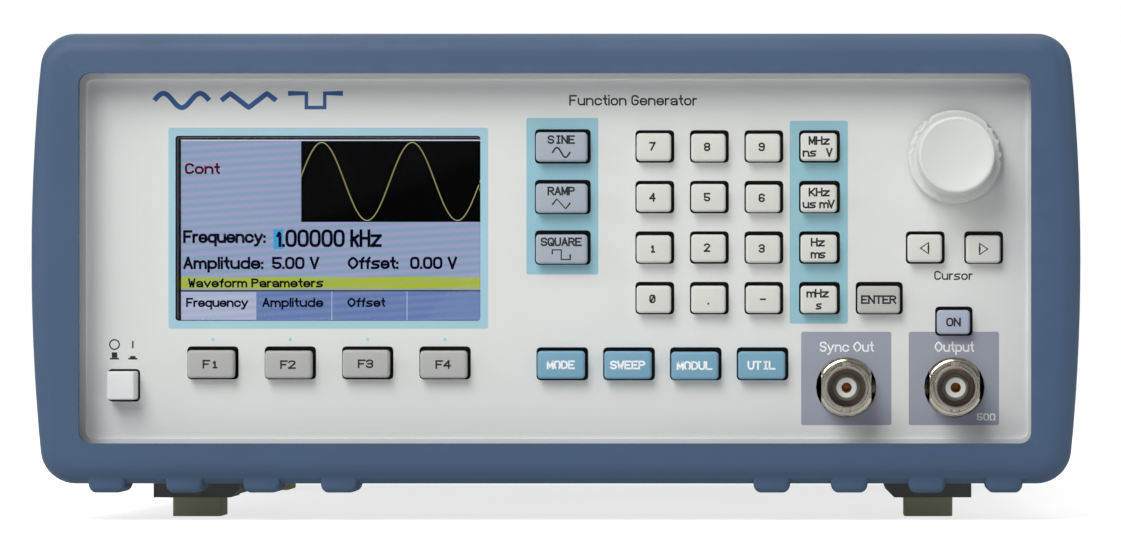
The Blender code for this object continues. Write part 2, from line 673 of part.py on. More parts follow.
def make_power_switch():
    x, z = POWER_PLACE
    height = MIDDLE + z
    plunger_depth = PLUNGER_SIZE[1]
    centre = (x, SWITCH_FACE + plunger_depth - 1 * MM + SWITCH_SIZE[1] / 2, height)
    bm = bmesh.new()
    add_block(bm, centre, SWITCH_SIZE, corner=0.8 * MM, segments=1)
    switch = finish_mesh(bm, "power_switch", (x, SWITCH_FACE, height))
    bm = bmesh.new()
    add_block(bm, (x, SWITCH_FACE + plunger_depth / 2, height), PLUNGER_SIZE)
    boolean(switch, cutter(bm, "switch_plunger"), "UNION")
    part(switch, material("switch_plastic", (0.03, 0.03, 0.03), 0.5))


def make_tuning_knob():
    """A smooth cup with a wider skirt, pushed on the encoder's shaft."""
    x, z = KNOB_PLACE
    reach = KNOB_HEIGHT
    bore = SHAFT_RADIUS + GAP
    profile = (
        (0, reach - 2.5 * MM),
        (bore, reach - 2.5 * MM),
        (bore, 0.6 * MM),
        (KNOB_SKIRT_RADIUS - 0.4 * MM, 0.6 * MM),
        (KNOB_SKIRT_RADIUS, 1 * MM),
        (KNOB_SKIRT_RADIUS, 2.6 * MM),
        (KNOB_SKIRT_RADIUS - 0.7 * MM, 3.6 * MM),
        (KNOB_FACE_RADIUS + 0.5 * MM, reach - 1 * MM),
        (KNOB_FACE_RADIUS, reach - 0.25 * MM),
        (KNOB_FACE_RADIUS - 0.5 * MM, reach),
        (0, reach),
    )
    knob = turned("tuning_knob", profile[::-1], 40, (x, PANEL_FACE, MIDDLE + z), -1)
    part(knob, material("knob_plastic", (0.72, 0.73, 0.70), 0.45))

    bm = bmesh.new()
    height = MIDDLE + z
    tip = PANEL_FACE - (reach - 2.5 * MM) + GAP
    end = KEY_BOARD_FACE - 2.5 * MM
    add_cylinder(bm, (x, tip, height), (x, end, height), SHAFT_RADIUS, 20)
    shaft = finish_mesh(bm, "encoder_shaft", (x, end, height))
    part(shaft, material("shaft_metal", (0.60, 0.60, 0.58), 0.3, metallic=1.0))


def make_encoder_body():
    """The encoder's can on the key board, with a bushing that guides the shaft through the panel."""
    x, z = KNOB_PLACE
    height = MIDDLE + z
    back = KEY_BOARD_FACE - GAP
    front = back - ENCODER_DEPTH
    size = (ENCODER_SIDE, ENCODER_DEPTH, ENCODER_SIDE)
    bm = bmesh.new()
    add_block(bm, (x, (front + back) / 2, height), size, corner=0.8 * MM, segments=1)
    encoder = finish_mesh(bm, "encoder_body", (x, back, height))
    bm = bmesh.new()
    add_cylinder(bm, (x, PANEL_FACE + 1 * MM, height), (x, front + 1 * MM, height), BUSHING_RADIUS, 20)
    boolean(encoder, cutter(bm, "encoder_bushing"), "UNION")
    bm = bmesh.new()
    bore_end = KEY_BOARD_FACE - 2.5 * MM + GAP
    add_cylinder(bm, (x, PANEL_FACE - 5 * MM, height), (x, bore_end, height), SHAFT_RADIUS + GAP, 20)
    boolean(encoder, cutter(bm, "encoder_bore"), "DIFFERENCE")
    part(encoder, material("encoder_metal", (0.45, 0.45, 0.44), 0.4, metallic=0.9))


def make_display():
    """A clear window in the panel's opening and the display module behind it."""
    x, z = WINDOW_CENTRE
    height = MIDDLE + z
    bm = bmesh.new()
    size = (WINDOW_WIDTH - 2 * GAP, 1.5 * MM, WINDOW_HEIGHT - 2 * GAP)
    add_block(bm, (x, PANEL_FACE + 1.35 * MM, height), size, corner=0.4 * MM, segments=1)
    window = finish_mesh(bm, "display_window", (x, PANEL_FACE + 0.6 * MM, height))
    part(window, material("clear_acrylic", (0.95, 0.97, 0.98), 0.05, alpha=0.25))

    bm = bmesh.new()
    front = PANEL_BACK + GAP
    add_box(
        bm,
        (x - 40 * MM, front, MIDDLE - 17.4 * MM),
        (x + 40 * MM, front + 6 * MM, MIDDLE + 31.6 * MM),
        corner=1 * MM,
        segments=1,
    )
    module = finish_mesh(bm, "display_module", (x, front, height))
    part(module, material("display_glass", (0.32, 0.38, 0.62), 0.2))


def make_key_board():
    """The circuit board behind the panel, with one switch under every key."""
    bm = bmesh.new()
    back = KEY_BOARD_FACE + BOARD_THICKNESS
    add_box(bm, (-88 * MM, KEY_BOARD_FACE, 20 * MM), (100 * MM, back, 95 * MM))
    board = finish_mesh(bm, "key_board", (0, KEY_BOARD_FACE, MIDDLE))
    bm = bmesh.new()
    for _, x, z, _ in key_layout():
        centre = (x, KEY_BOARD_FACE - TACT_HEIGHT / 2 + 0.2 * MM, MIDDLE + z - KEY_SAG)
        add_block(bm, centre, (TACT_SIZE, TACT_HEIGHT + 0.4 * MM, TACT_SIZE))
    boolean(board, cutter(bm, "key_switches"), "UNION")
    bm = bmesh.new()
    for x, z in (SYNC_PLACE, OUTPUT_PLACE):
        start, end = (x, KEY_BOARD_FACE - 5 * MM, MIDDLE + z), (x, back + 5 * MM, MIDDLE + z)
        add_cylinder(bm, start, end, BNC_REAR_RADIUS + 0.6 * MM, 16)
    boolean(board, cutter(bm, "key_board_holes"), "DIFFERENCE")
    part(board, material("circuit_board", (0.02, 0.14, 0.06), 0.5))


def make_main_board():
    """The signal board on its standoffs, with a shield can and a few large packages."""
    (low_x, high_x), (low_y, high_y) = MAIN_BOARD
    bm = bmesh.new()
    add_box(bm, (low_x, low_y, MAIN_BOARD_UNDERSIDE), (high_x, high_y, BOARD_TOP))
    board = finish_mesh(bm, "main_board", (0, 0, MAIN_BOARD_UNDERSIDE))
    bm = bmesh.new()
    sink = 0.4 * MM
    packages = (
        ((72, -32), (40, 46, 9)),
        ((20, -30), (24, 24, 2)),
        ((20, 20), (18, 18, 2)),
        ((60, 30), (12, 20, 3)),
        ((30, 62), (20, 12, 12)),
        ((-10, -60), (8, 24, 8)),
    )
    for (x, y), (width, depth, height) in packages:
        centre = Vector((x * MM, y * MM, BOARD_TOP + (height * MM - sink) / 2))
        add_block(bm, centre, (width * MM, depth * MM, height * MM + sink))
    boolean(board, cutter(bm, "main_board_packages"), "UNION")
    part(board, material("main_circuit_board", (0.02, 0.14, 0.06), 0.5))


def make_power_supply():
    """The supply board: transformer, smoothing capacitors and a finned heat sink."""
    (low_x, high_x), (low_y, high_y) = SUPPLY_BOARD
    bm = bmesh.new()
    add_box(bm, (low_x, low_y, MAIN_BOARD_UNDERSIDE), (high_x, high_y, BOARD_TOP))
    supply = finish_mesh(bm, "power_supply", (low_x, low_y, MAIN_BOARD_UNDERSIDE))
    bm = bmesh.new()
    base = BOARD_TOP - 0.4 * MM
    transformer_top = base + 38 * MM
    low, high = (-96 * MM, 14 * MM, base), (-54 * MM, 62 * MM, transformer_top)
    add_box(bm, low, high, corner=2 * MM, along=2, segments=1)
    for x, y in ((-45, -20), (-45, 2), (-66, -14)):
        add_cylinder(bm, (x * MM, y * MM, base), (x * MM, y * MM, base + 28 * MM), 8 * MM, 14)
    add_box(bm, (-74 * MM, -60 * MM, base), (-36 * MM, -56 * MM, base + 30 * MM))
    for fin in range(5):
        x = (-73 + fin * 9) * MM
        add_box(bm, (x, -57 * MM, base), (x + 1.5 * MM, -46 * MM, base + 30 * MM))
    boolean(supply, cutter(bm, "supply_components"), "UNION", crossing=True)
    part(supply, material("supply_parts", (0.16, 0.14, 0.10), 0.5))


def make_inlet():
    """A three-pin appliance inlet with a screw flange outside the rear panel."""
    x, z = INLET_PLACE
    height = MIDDLE + z
    flange_width, flange_height, flange_depth = INLET_FLANGE
    face = CASE_REAR + GAP
    bm = bmesh.new()
    add_block(
        bm,
        (x, face + flange_depth / 2, height),
        (flange_width, flange_depth, flange_height),
        corner=3 * MM,
    )
    inlet = finish_mesh(bm, "ac_inlet", (x, face, height))
    bm = bmesh.new()
    half_width, half_height = INLET_BODY[0] / 2, INLET_BODY[1] / 2
    low = (x - half_width, face - INLET_BODY_DEPTH, height - half_height)
    high = (x + half_width, face + 1 * MM, height + half_height)
    add_box(bm, low, high)
    boolean(inlet, cutter(bm, "inlet_body"), "UNION")
    bm = bmesh.new()
    outer = face + flange_depth
    size = (INLET_MOUTH[0], 2 * INLET_MOUTH_DEPTH, INLET_MOUTH[1])
    add_block(bm, (x, outer, height), size, corner=1.2 * MM)
    boolean(inlet, cutter(bm, "inlet_mouth_cutter"), "DIFFERENCE")
    part(inlet, material("inlet_plastic", (0.025, 0.025, 0.027), 0.45))


def make_usb_port():
    """A square type-B socket on the main board, seen through the rear panel."""
    width, depth, tall = USB_SIZE
    centre_z = BOARD_TOP + GAP + tall / 2
    bm = bmesh.new()
    outer = CASE_REAR + 0.4 * MM
    add_block(bm, (USB_PLACE_X, outer - depth / 2, centre_z), (width, depth, tall))
    port = finish_mesh(bm, "usb_port", (USB_PLACE_X, outer, centre_z))
    bm = bmesh.new()
    size = (USB_MOUTH[0], 2 * USB_MOUTH_DEPTH, USB_MOUTH[1])
    add_block(bm, (USB_PLACE_X, outer, centre_z), size, corner=1.4 * MM, segments=1)
    boolean(port, cutter(bm, "usb_mouth_cutter"), "DIFFERENCE")
    part(port, material("usb_shell", (0.62, 0.62, 0.62), 0.3, metallic=1.0))


def make_front_foot(name, side, finish):
    """Foot housing with a narrow pad at the front and a pocket behind it for the folded leg."""
    x = side * FOOT_X
    low = Vector((x - FOOT_WIDTH / 2, FOOT_FRONT, FOOT_STEP))
    high = Vector((x + FOOT_WIDTH / 2, FOOT_FRONT + FOOT_LENGTH, CASE_BOTTOM - GAP))
    bm = bmesh.new()
    add_box(bm, low, high)
    inner_side = x - side * FOOT_WIDTH / 2
    low_verts = [vert for vert in bm.verts if vert.co.z < FOOT_STEP + 1e-6]
    at_corner = {vert for vert in low_verts if abs(vert.co.x - inner_side) < 1e-6}
    inner_edge = [edge for edge in bm.edges if at_corner.issuperset(edge.verts)]
    bmesh.ops.bevel(bm, geom=inner_edge, offset=FOOT_CHAMFER, segments=1, profile=0.5, affect="EDGES")
    foot = finish_mesh(bm, name, (x, FOOT_FRONT, 0))

    bm = bmesh.new()
    add_box(
        bm,
        (x - PAD_WIDTH / 2, FOOT_FRONT, 0),
        (x + PAD_WIDTH / 2, FOOT_FRONT + PAD_LENGTH, FOOT_STEP + 1 * MM),
        corner=1 * MM,
        along=2,
    )
    boolean(foot, cutter(bm, name + "_pad"), "UNION")

    bm = bmesh.new()
    half = POCKET_WIDTH / 2
    add_box(bm, (x - half, POCKET_START, -5 * MM), (x + half, POCKET_END, POCKET_TOP))
    boolean(foot, cutter(bm, name + "_pocket"), "DIFFERENCE")
    bm = bmesh.new()
    y, z = LEG_PIVOT
    add_cylinder(bm, (x - FOOT_WIDTH, y, z), (x + FOOT_WIDTH, y, z), STUB_RADIUS + GAP, 16)
    boolean(foot, cutter(bm, name + "_pivot_holes"), "DIFFERENCE")
    part(foot, finish)


def make_tilt_leg(name, side, finish):
    """A flat leg folded back into its foot. It swings down and forward about its two stubs."""
    x = side * FOOT_X
    y, z = LEG_PIVOT
    half = LEG_THICKNESS / 2
    bm = bmesh.new()
    low = (x - LEG_WIDTH / 2, y - half, z - half)
    high = (x + LEG_WIDTH / 2, y + LEG_LENGTH, z + half)
    add_box(bm, low, high, corner=1.3 * MM, along=0)
    leg = finish_mesh(bm, name, (x, y, z))
    bm = bmesh.new()
    add_cylinder(bm, (x - STUB_REACH, y, z), (x + STUB_REACH, y, z), STUB_RADIUS, 16)
    boolean(leg, cutter(bm, name + "_stubs"), "UNION")
    part(leg, finish)


def make_rear_foot(name, side, finish):
    x = side * REAR_FOOT_X
    half = REAR_FOOT_LENGTH / 2
    bm = bmesh.new()
    low = (x - FOOT_WIDTH / 2, REAR_FOOT_Y - half, FOOT_STEP)
    high = (x + FOOT_WIDTH / 2, REAR_FOOT_Y + half, CASE_BOTTOM - GAP)
    add_box(bm, low, high, corner=1.5 * MM, along=2)
    foot = finish_mesh(bm, name, (x, REAR_FOOT_Y, 0))
    bm = bmesh.new()
    low = (x - PAD_WIDTH / 2, REAR_FOOT_Y - half + 2 * MM, 0)
    high = (x + PAD_WIDTH / 2, REAR_FOOT_Y + half - 2 * MM, FOOT_STEP + 1 * MM)
    add_box(bm, low, high, corner=1 * MM, along=2)
    boolean(foot, cutter(bm, name + "_pad"), "UNION")
    part(foot, finish)


def make_feet():
    foot_plastic = material("foot_plastic", (0.075, 0.075, 0.058), 0.6)
    leg_plastic = material("leg_plastic", (0.09, 0.09, 0.07), 0.55)
    for side, word in ((-1, "left"), (1, "right")):
        make_front_foot(f"front_foot_{word}", side, foot_plastic)
        make_tilt_leg(f"tilt_leg_{word}", side, leg_plastic)
        make_rear_foot(f"rear_foot_{word}", side, foot_plastic)


make_bumpers()
make_top_cover()
make_base_chassis()
make_rear_panel()
make_front_panel()
make_keys()
make_power_button()
make_power_switch()
make_tuning_knob()
make_encoder_body()
make_display()
make_key_board()
make_main_board()
make_power_supply()
make_bncs()
make_inlet()
make_usb_port()
make_feet()
for piece in PARTS.objects:
    smooth(piece)
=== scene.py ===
"""Looks for a bench function generator: bumpers, panel, keys, display, sockets and case, round its frame.

Metres, +Z up, the front faces -Y. Every piece stands where the frame's nodes say.
"""

import math

import bmesh
import bpy
from bpy.props import FloatProperty, FloatVectorProperty, IntProperty, PointerProperty
from mathutils import Matrix, Vector


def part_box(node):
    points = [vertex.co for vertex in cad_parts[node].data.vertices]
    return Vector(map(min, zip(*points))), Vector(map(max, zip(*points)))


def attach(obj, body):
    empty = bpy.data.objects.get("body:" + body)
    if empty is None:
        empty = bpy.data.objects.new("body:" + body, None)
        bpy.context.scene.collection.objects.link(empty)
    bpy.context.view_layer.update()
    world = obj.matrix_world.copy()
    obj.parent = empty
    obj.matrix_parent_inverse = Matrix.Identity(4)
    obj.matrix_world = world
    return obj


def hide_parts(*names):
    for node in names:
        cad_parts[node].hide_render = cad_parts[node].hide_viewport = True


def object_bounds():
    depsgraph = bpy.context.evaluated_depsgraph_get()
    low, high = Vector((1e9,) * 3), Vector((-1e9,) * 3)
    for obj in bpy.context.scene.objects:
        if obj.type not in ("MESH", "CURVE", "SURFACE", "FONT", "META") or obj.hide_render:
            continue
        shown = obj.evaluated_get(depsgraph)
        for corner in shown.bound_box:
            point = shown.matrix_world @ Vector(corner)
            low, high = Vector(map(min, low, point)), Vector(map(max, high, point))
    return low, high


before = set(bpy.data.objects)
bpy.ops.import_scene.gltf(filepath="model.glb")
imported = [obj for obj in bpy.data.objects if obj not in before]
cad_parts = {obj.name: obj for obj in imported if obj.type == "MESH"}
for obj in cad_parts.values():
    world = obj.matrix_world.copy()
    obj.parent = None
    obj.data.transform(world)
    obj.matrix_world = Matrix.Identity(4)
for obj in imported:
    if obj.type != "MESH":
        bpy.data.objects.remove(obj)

bl_info = {
    "name": "Bench Function Generator",
    "version": (1, 0, 0),
    "blender": (4, 5, 0),
    "location": "3D View > Sidebar > Generator",
    "description": "Finished pieces of a bench function generator on its fixed frame",
    "category": "Object",
}

MM = 0.001
CABINET = "cabinet"
PRINT_LIFT = 0.02 * MM  # how far printed ink stands off the surface under it

LOW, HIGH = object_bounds()


def middle(node):
    low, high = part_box(node)
    return (low + high) / 2


PANEL_LOW, PANEL_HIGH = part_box("front_panel")
PANEL_RIM = 0.7 * MM
PANEL_FACE = PANEL_LOW.y + PANEL_RIM
PANEL_Z = middle("front_panel").z
REAR_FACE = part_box("rear_panel")[1].y
# painted shade: from this depth behind the panel's face, hole walls and the sides of keys are painted black
SHADE_PAINT_START = PANEL_FACE + 0.13 * MM
# below this step the foot takes the pad colour, its own olive made lighter as painted light
FOOT_STEP = 4.2 * MM  # where a foot's wide part ends and its pad begins
KEY_NODES = [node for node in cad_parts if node.startswith("key_") and node != "key_board"]


def tint(red, green, blue):
    """A display colour, 0 to 255, as the linear colour that shaders take."""
    linear = []
    for level in (red, green, blue):
        level /= 255
        linear.append(level / 12.92 if level <= 0.04045 else ((level + 0.055) / 1.055) ** 2.4)
    return tuple(linear)


def colour_setting(name, description, red, green, blue):
    level = tint(red, green, blue)
    return FloatVectorProperty(
        name=name, description=description, subtype="COLOR", size=3, min=0, max=1, default=level
    )


def length_setting(name, description, millimetres):
    default = millimetres * MM
    return FloatProperty(
        name=name, description=description, default=default, min=0, unit="LENGTH", precision=5
    )


class GeneratorSizes(bpy.types.PropertyGroup):
    bumper_bow: length_setting("Bumper Bow", "How far each side of a bumper bulges at mid-height", 2.7)
    bumper_corner: length_setting("Bumper Corner", "Radius of a bumper's corners, seen from the front", 6.8)
    bumper_rounding: length_setting("Bumper Rounding", "Radius of the rim round a bumper's outer end", 4.5)
    edge_softness: length_setting("Edge Softness", "Radius of the small edges of moulded pieces", 0.25)
    cap_rounding: length_setting("Cap Rounding", "Radius round the front of a key cap", 0.55)
    legend_stroke: length_setting("Legend Stroke", "Width of the lines in the key legends", 0.38)
    knob_notch: length_setting("Knob Notch", "Depth of the finger notches in the knob's skirt", 0.5)
    thread_pitch: length_setting("Thread Pitch", "Pitch of the sockets' panel threads", 0.9)
    turn_steps: IntProperty(name="Turn Steps", description="Faces round a turned piece", default=96, min=24)


class GeneratorColours(bpy.types.PropertyGroup):
    bumper: colour_setting("Bumper", "Blue rubber of the bumpers", 63, 88, 118)
    panel: colour_setting("Panel", "Moulded plastic of the front panel", 226, 228, 225)
    area_blue: colour_setting("Area Blue", "Printed area round the display", 165, 205, 220)
    area_deep: colour_setting("Area Deep Blue", "Strips behind the waveform and unit keys", 151, 197, 211)
    area_lilac: colour_setting("Area Lilac", "Printed squares behind the sockets", 157, 161, 175)
    key_white: colour_setting("White Keys", "Number, unit and cursor keys", 220, 220, 214)
    key_wave: colour_setting("Waveform Keys", "Sine, ramp and square keys", 169, 179, 190)
    key_grey: colour_setting("Soft Keys", "Keys under the display", 180, 181, 177)
    key_blue: colour_setting("Menu Keys", "Mode, sweep, modulation and utility keys", 120, 168, 192)
    key_enter: colour_setting("Enter Key", "Enter key", 187, 188, 182)
    key_lilac: colour_setting("Output Key", "Output key", 171, 179, 196)
    knob: colour_setting("Knob", "Tuning knob", 220, 222, 219)
    cover: colour_setting("Cover", "Powder coat of the case", 203, 203, 197)
    foot: colour_setting("Feet", "Plastic of the feet", 104, 106, 101)
    # the pads' own olive, made lighter as painted light for the front light that falls on them
    foot_pad: colour_setting("Foot Pads And Light", "Rubber under the feet", 172, 174, 140)
    ink: colour_setting("Ink", "Dark print", 16, 17, 20)


def sizes():
    return bpy.context.scene.generator_sizes


def colours():
    return bpy.context.scene.generator_colours


# Shared shader effects


def new_group(name, inputs, outputs):
    """An empty node group with named sockets. Returns its tree, and its input and output nodes."""
    tree = bpy.data.node_groups.new(name, "ShaderNodeTree")
    for label, kind, default in inputs:
        socket = tree.interface.new_socket(label, in_out="INPUT", socket_type=f"NodeSocket{kind}")
        if default is not None:
            socket.default_value = default
    for label, kind in outputs:
        tree.interface.new_socket(label, in_out="OUTPUT", socket_type=f"NodeSocket{kind}")
    return tree, tree.nodes.new("NodeGroupInput"), tree.nodes.new("NodeGroupOutput")


class Wiring:
    """Adds and joins nodes in one tree."""

    def __init__(self, tree):
        self.tree = tree

    def node(self, kind, **settings):
        made = self.tree.nodes.new(f"ShaderNode{kind}")
        for name, value in settings.items():
            setattr(made, name, value)
        return made

    def feed(self, value, socket):
        if isinstance(value, bpy.types.NodeSocket):
            self.tree.links.new(value, socket)
        else:
            socket.default_value = value

    def sum(self, operation, first, second=0.0, third=0.0):
        """A math node's result."""
        made = self.node("Math", operation=operation)
        for value, socket in zip((first, second, third), made.inputs):
            self.feed(value, socket)
        return made.outputs[0]

    def noise(self, vector, scale, detail=2.0):
        made = self.node("TexNoise")
        self.feed(vector, made.inputs["Vector"])
        self.feed(scale, made.inputs["Scale"])
        self.feed(detail, made.inputs["Detail"])
        return made.outputs["Fac"]

    def remap(self, value, low, high, to_low=0.0, to_high=1.0):
        made = self.node("MapRange")
        for entry, socket in zip((value, low, high, to_low, to_high), made.inputs):
            self.feed(entry, socket)
        return made.outputs[0]

    def blend(self, mask, first, second):
        made = self.node("Mix", data_type="RGBA")
        for value, socket in ((mask, made.inputs[0]), (first, made.inputs[6]), (second, made.inputs[7])):
            self.feed(opaque(value), socket)
        return made.outputs[2]


def opaque(value):
    """A colour of three numbers gets the fourth that colour sockets need."""
    return (*value, 1.0) if isinstance(value, (tuple, list)) and len(value) == 3 else value


def make_grain_group():
    """Fine moulded or sprayed texture as a height, and a broad mottle of the colour."""
    inputs = (("Vector", "Vector", None), ("Grain", "Float", 900.0), ("Mottle Size", "Float", 30.0))
    tree, start, end = new_group("Surface Grain", inputs, (("Height", "Float"), ("Mottle", "Float")))
    wiring = Wiring(tree)
    vector, grain, mottle = start.outputs[:3]
    fine = wiring.noise(vector, grain, 3.0)
    coarse = wiring.noise(vector, wiring.sum("MULTIPLY", grain, 0.35), 1.0)
    height = wiring.sum("ADD", wiring.sum("MULTIPLY", fine, 0.6), wiring.sum("MULTIPLY", coarse, 0.4))
    broad = wiring.remap(wiring.noise(vector, mottle, 4.0), 0.3, 0.7)
    tree.links.new(height, end.inputs["Height"])
    tree.links.new(broad, end.inputs["Mottle"])
    return tree


def make_wear_group():
    """Where outer edges are made bright, partly rubbed wear and partly a painted highlight: sharp convex
    edges, broken up.
    """
    inputs = (("Vector", "Vector", None), ("Amount", "Float", 0.5))
    tree, start, end = new_group("Edge Wear", inputs, (("Mask", "Float"),))
    wiring = Wiring(tree)
    edges = wiring.remap(wiring.node("NewGeometry").outputs["Pointiness"], 0.53, 0.6)
    broken = wiring.remap(wiring.noise(start.outputs[0], 220.0, 5.0), 0.35, 0.75)
    mask = wiring.sum("MULTIPLY", wiring.sum("MULTIPLY", edges, broken), start.outputs[1])
    tree.links.new(mask, end.inputs[0])
    return tree


def make_dust_group():
    """Light dust on faces that look up."""
    inputs = (("Vector", "Vector", None), ("Amount", "Float", 0.2))
    tree, start, end = new_group("Settled Dust", inputs, (("Mask", "Float"),))
    wiring = Wiring(tree)
    normal = wiring.node("SeparateXYZ")
    tree.links.new(wiring.node("NewGeometry").outputs["Normal"], normal.inputs[0])
    upward = wiring.remap(normal.outputs["Z"], 0.4, 1.0)
    patches = wiring.remap(wiring.noise(start.outputs[0], 45.0, 6.0), 0.3, 0.8, 0.3, 1.0)
    mask = wiring.sum("MULTIPLY", wiring.sum("MULTIPLY", upward, patches), start.outputs[1])
    tree.links.new(mask, end.inputs[0])
    return tree


def make_area_group():
    """A printed rectangle with round corners on a face that looks along Y."""
    labels = ("Centre X", "Centre Z", "Half Width", "Half Height", "Corner")
    inputs = [("Vector", "Vector", None)] + [(label, "Float", 0.0) for label in labels]
    tree, start, end = new_group("Printed Area", inputs, (("Mask", "Float"),))
    wiring = Wiring(tree)
    place = wiring.node("SeparateXYZ")
    tree.links.new(start.outputs[0], place.inputs[0])
    centre_x, centre_z, half_width, half_height, corner = start.outputs[1:6]
    sides = []
    for axis, centre, half in ((0, centre_x, half_width), (2, centre_z, half_height)):
        offset = wiring.sum("ABSOLUTE", wiring.sum("SUBTRACT", place.outputs[axis], centre))
        inside = wiring.sum("SUBTRACT", half, corner)
        sides.append(wiring.sum("MAXIMUM", wiring.sum("SUBTRACT", offset, inside), 0.0))
    squares = [wiring.sum("MULTIPLY", side, side) for side in sides]
    distance = wiring.sum("SQRT", wiring.sum("ADD", *squares))
    tree.links.new(wiring.sum("LESS_THAN", distance, corner), end.inputs[0])
    return tree


def make_brushing_group():
    """Long fine scratches along one axis, as a height and a change of gloss."""
    inputs = (("Vector", "Vector", None), ("Stretch", "Vector", (30.0, 2000.0, 2000.0)))
    tree, start, end = new_group("Brushed Lines", inputs, (("Height", "Float"), ("Gloss", "Float")))
    wiring = Wiring(tree)
    scaled = wiring.node("VectorMath", operation="MULTIPLY")
    tree.links.new(start.outputs[0], scaled.inputs[0])
    tree.links.new(start.outputs[1], scaled.inputs[1])
    lines = wiring.noise(scaled.outputs[0], 1.0, 3.0)
    tree.links.new(lines, end.inputs["Height"])
    tree.links.new(wiring.remap(lines, 0.3, 0.7), end.inputs["Gloss"])
    return tree


def make_bands_group():
    """Faint slanting bands and the pixel rows of a lit screen."""
    outputs = (("Tone", "Float"), ("Rows", "Float"))
    tree, start, end = new_group("Screen Bands", (("Vector", "Vector", None),), outputs)
    wiring = Wiring(tree)
    turned = wiring.node("Mapping")
    tree.links.new(start.outputs[0], turned.inputs["Vector"])
    turned.inputs["Rotation"].default_value = (0, math.radians(3.5), 0)
    bands = wiring.node("TexWave", bands_direction="Z")
    tree.links.new(turned.outputs[0], bands.inputs["Vector"])
    for label, value in (("Scale", 190.0), ("Distortion", 0.3), ("Detail", 1.0), ("Detail Scale", 0.4)):
        bands.inputs[label].default_value = value
    rows = wiring.node("TexWave", bands_direction="Z")
    tree.links.new(start.outputs[0], rows.inputs["Vector"])
    rows.inputs["Scale"].default_value = 1550.0
    tree.links.new(bands.outputs["Fac"], end.inputs[0])
    tree.links.new(rows.outputs["Fac"], end.inputs[1])
    return tree


EFFECTS = {
    "grain": make_grain_group,
    "wear": make_wear_group,
    "dust": make_dust_group,
    "area": make_area_group,
    "brushing": make_brushing_group,
    "bands": make_bands_group,
}
made_effects = {}
made_finishes = {}


class Finish(Wiring):
    """A material in the making: its wiring, its shader and its Object coordinates."""

    def __init__(self, name, roughness, metallic=0.0):
        self.material = bpy.data.materials.new(name)
        self.material.use_nodes = True
        super().__init__(self.material.node_tree)
        self.shader = self.tree.nodes["Principled BSDF"]
        self.shader.inputs["Roughness"].default_value = roughness
        self.shader.inputs["Metallic"].default_value = metallic
        self.place = self.node("TexCoord").outputs["Object"]

    def effect(self, kind, **values):
        """Places a shared effect and returns its outputs by name."""
        if kind not in made_effects:
            made_effects[kind] = EFFECTS[kind]()
        made = self.node("Group", node_tree=made_effects[kind])
        self.feed(self.place, made.inputs["Vector"])
        for label, value in values.items():
            self.feed(value, made.inputs[label.replace("_", " ").title()])
        return made.outputs

    def bump(self, height, depth, strength=1.0):
        made = self.node("Bump")
        self.feed(height, made.inputs["Height"])
        made.inputs["Distance"].default_value = depth
        made.inputs["Strength"].default_value = strength
        self.feed(made.outputs[0], self.shader.inputs["Normal"])

    def paint(self, colour):
        self.feed(opaque(colour), self.shader.inputs["Base Color"])

    def beyond(self, base, axis, side, level, colour):
        """Gives what lies on one side of a level along an axis a second colour."""
        split = self.node("SeparateXYZ")
        self.feed(self.place, split.inputs[0])
        return self.blend(self.sum(side, split.outputs[axis], level), base, colour)

    def black_behind(self, base, level):
        """Paints shade: blacks out what lies deeper than a level along Y, such as the walls of the key holes,
        where shade falls.
        """
        return self.beyond(base, "Y", "GREATER_THAN", level, tint(14, 14, 15))

    def gloss(self, value, low, high, smooth, rough):
        """Drives the roughness from a value that varies over the surface."""
        self.feed(self.remap(value, low, high, smooth, rough), self.shader.inputs["Roughness"])


def shade(colour, factor):
    return tuple(min(1.0, level * factor) for level in colour)


def mixed(colour):
    """A colour from a setting's name, from a setting and a factor, or from red, green and blue."""
    if isinstance(colour, str):
        return tuple(getattr(colours(), colour))
    return shade(getattr(colours(), colour[0]), colour[1]) if len(colour) == 2 else tint(*colour)


def moulded(name, colour, roughness, grain, depth, wear, dust=0.0, mottle=0.94, shade_paint_at=None, pad_and_light=None):
    """Plastic, rubber or powder coat: grain, a faint mottle, edges made lighter by wear and by a painted
    highlight, and a little dust.
    """
    finish = Finish(name, roughness)
    texture = finish.effect("grain", grain=grain, mottle_size=40.0)
    base = finish.blend(texture["Mottle"], shade(colour, mottle), tuple(colour))
    worn_and_highlit = finish.effect("wear", amount=wear)["Mask"]
    # edges lighter: partly rubbed wear, partly a painted highlight
    base = finish.blend(worn_and_highlit, base, shade(colour, 1.35))
    if dust:
        settled = finish.effect("dust", amount=dust)["Mask"]
        base = finish.blend(settled, base, tint(176, 174, 168))
    if pad_and_light:
        # below the step, the pad colour: its own olive, made lighter as painted light
        base = finish.beyond(base, "Z", "LESS_THAN", FOOT_STEP, mixed(pad_and_light))
    # painted shade: black from this level back
    if shade_paint_at is not None:
        base = finish.black_behind(base, shade_paint_at)
    finish.paint(base)
    finish.gloss(texture["Mottle"], 0, 1, roughness + 0.05, roughness - 0.04)
    finish.bump(texture["Height"], depth)
    return finish


def key_plastic(name, colour):
    """Fine matt plastic, with painted shade, black, where it stands inside its hole."""
    return moulded(name, colour, 0.42, 1600.0, 0.008 * MM, 0.15, mottle=0.965, shade_paint_at=SHADE_PAINT_START)


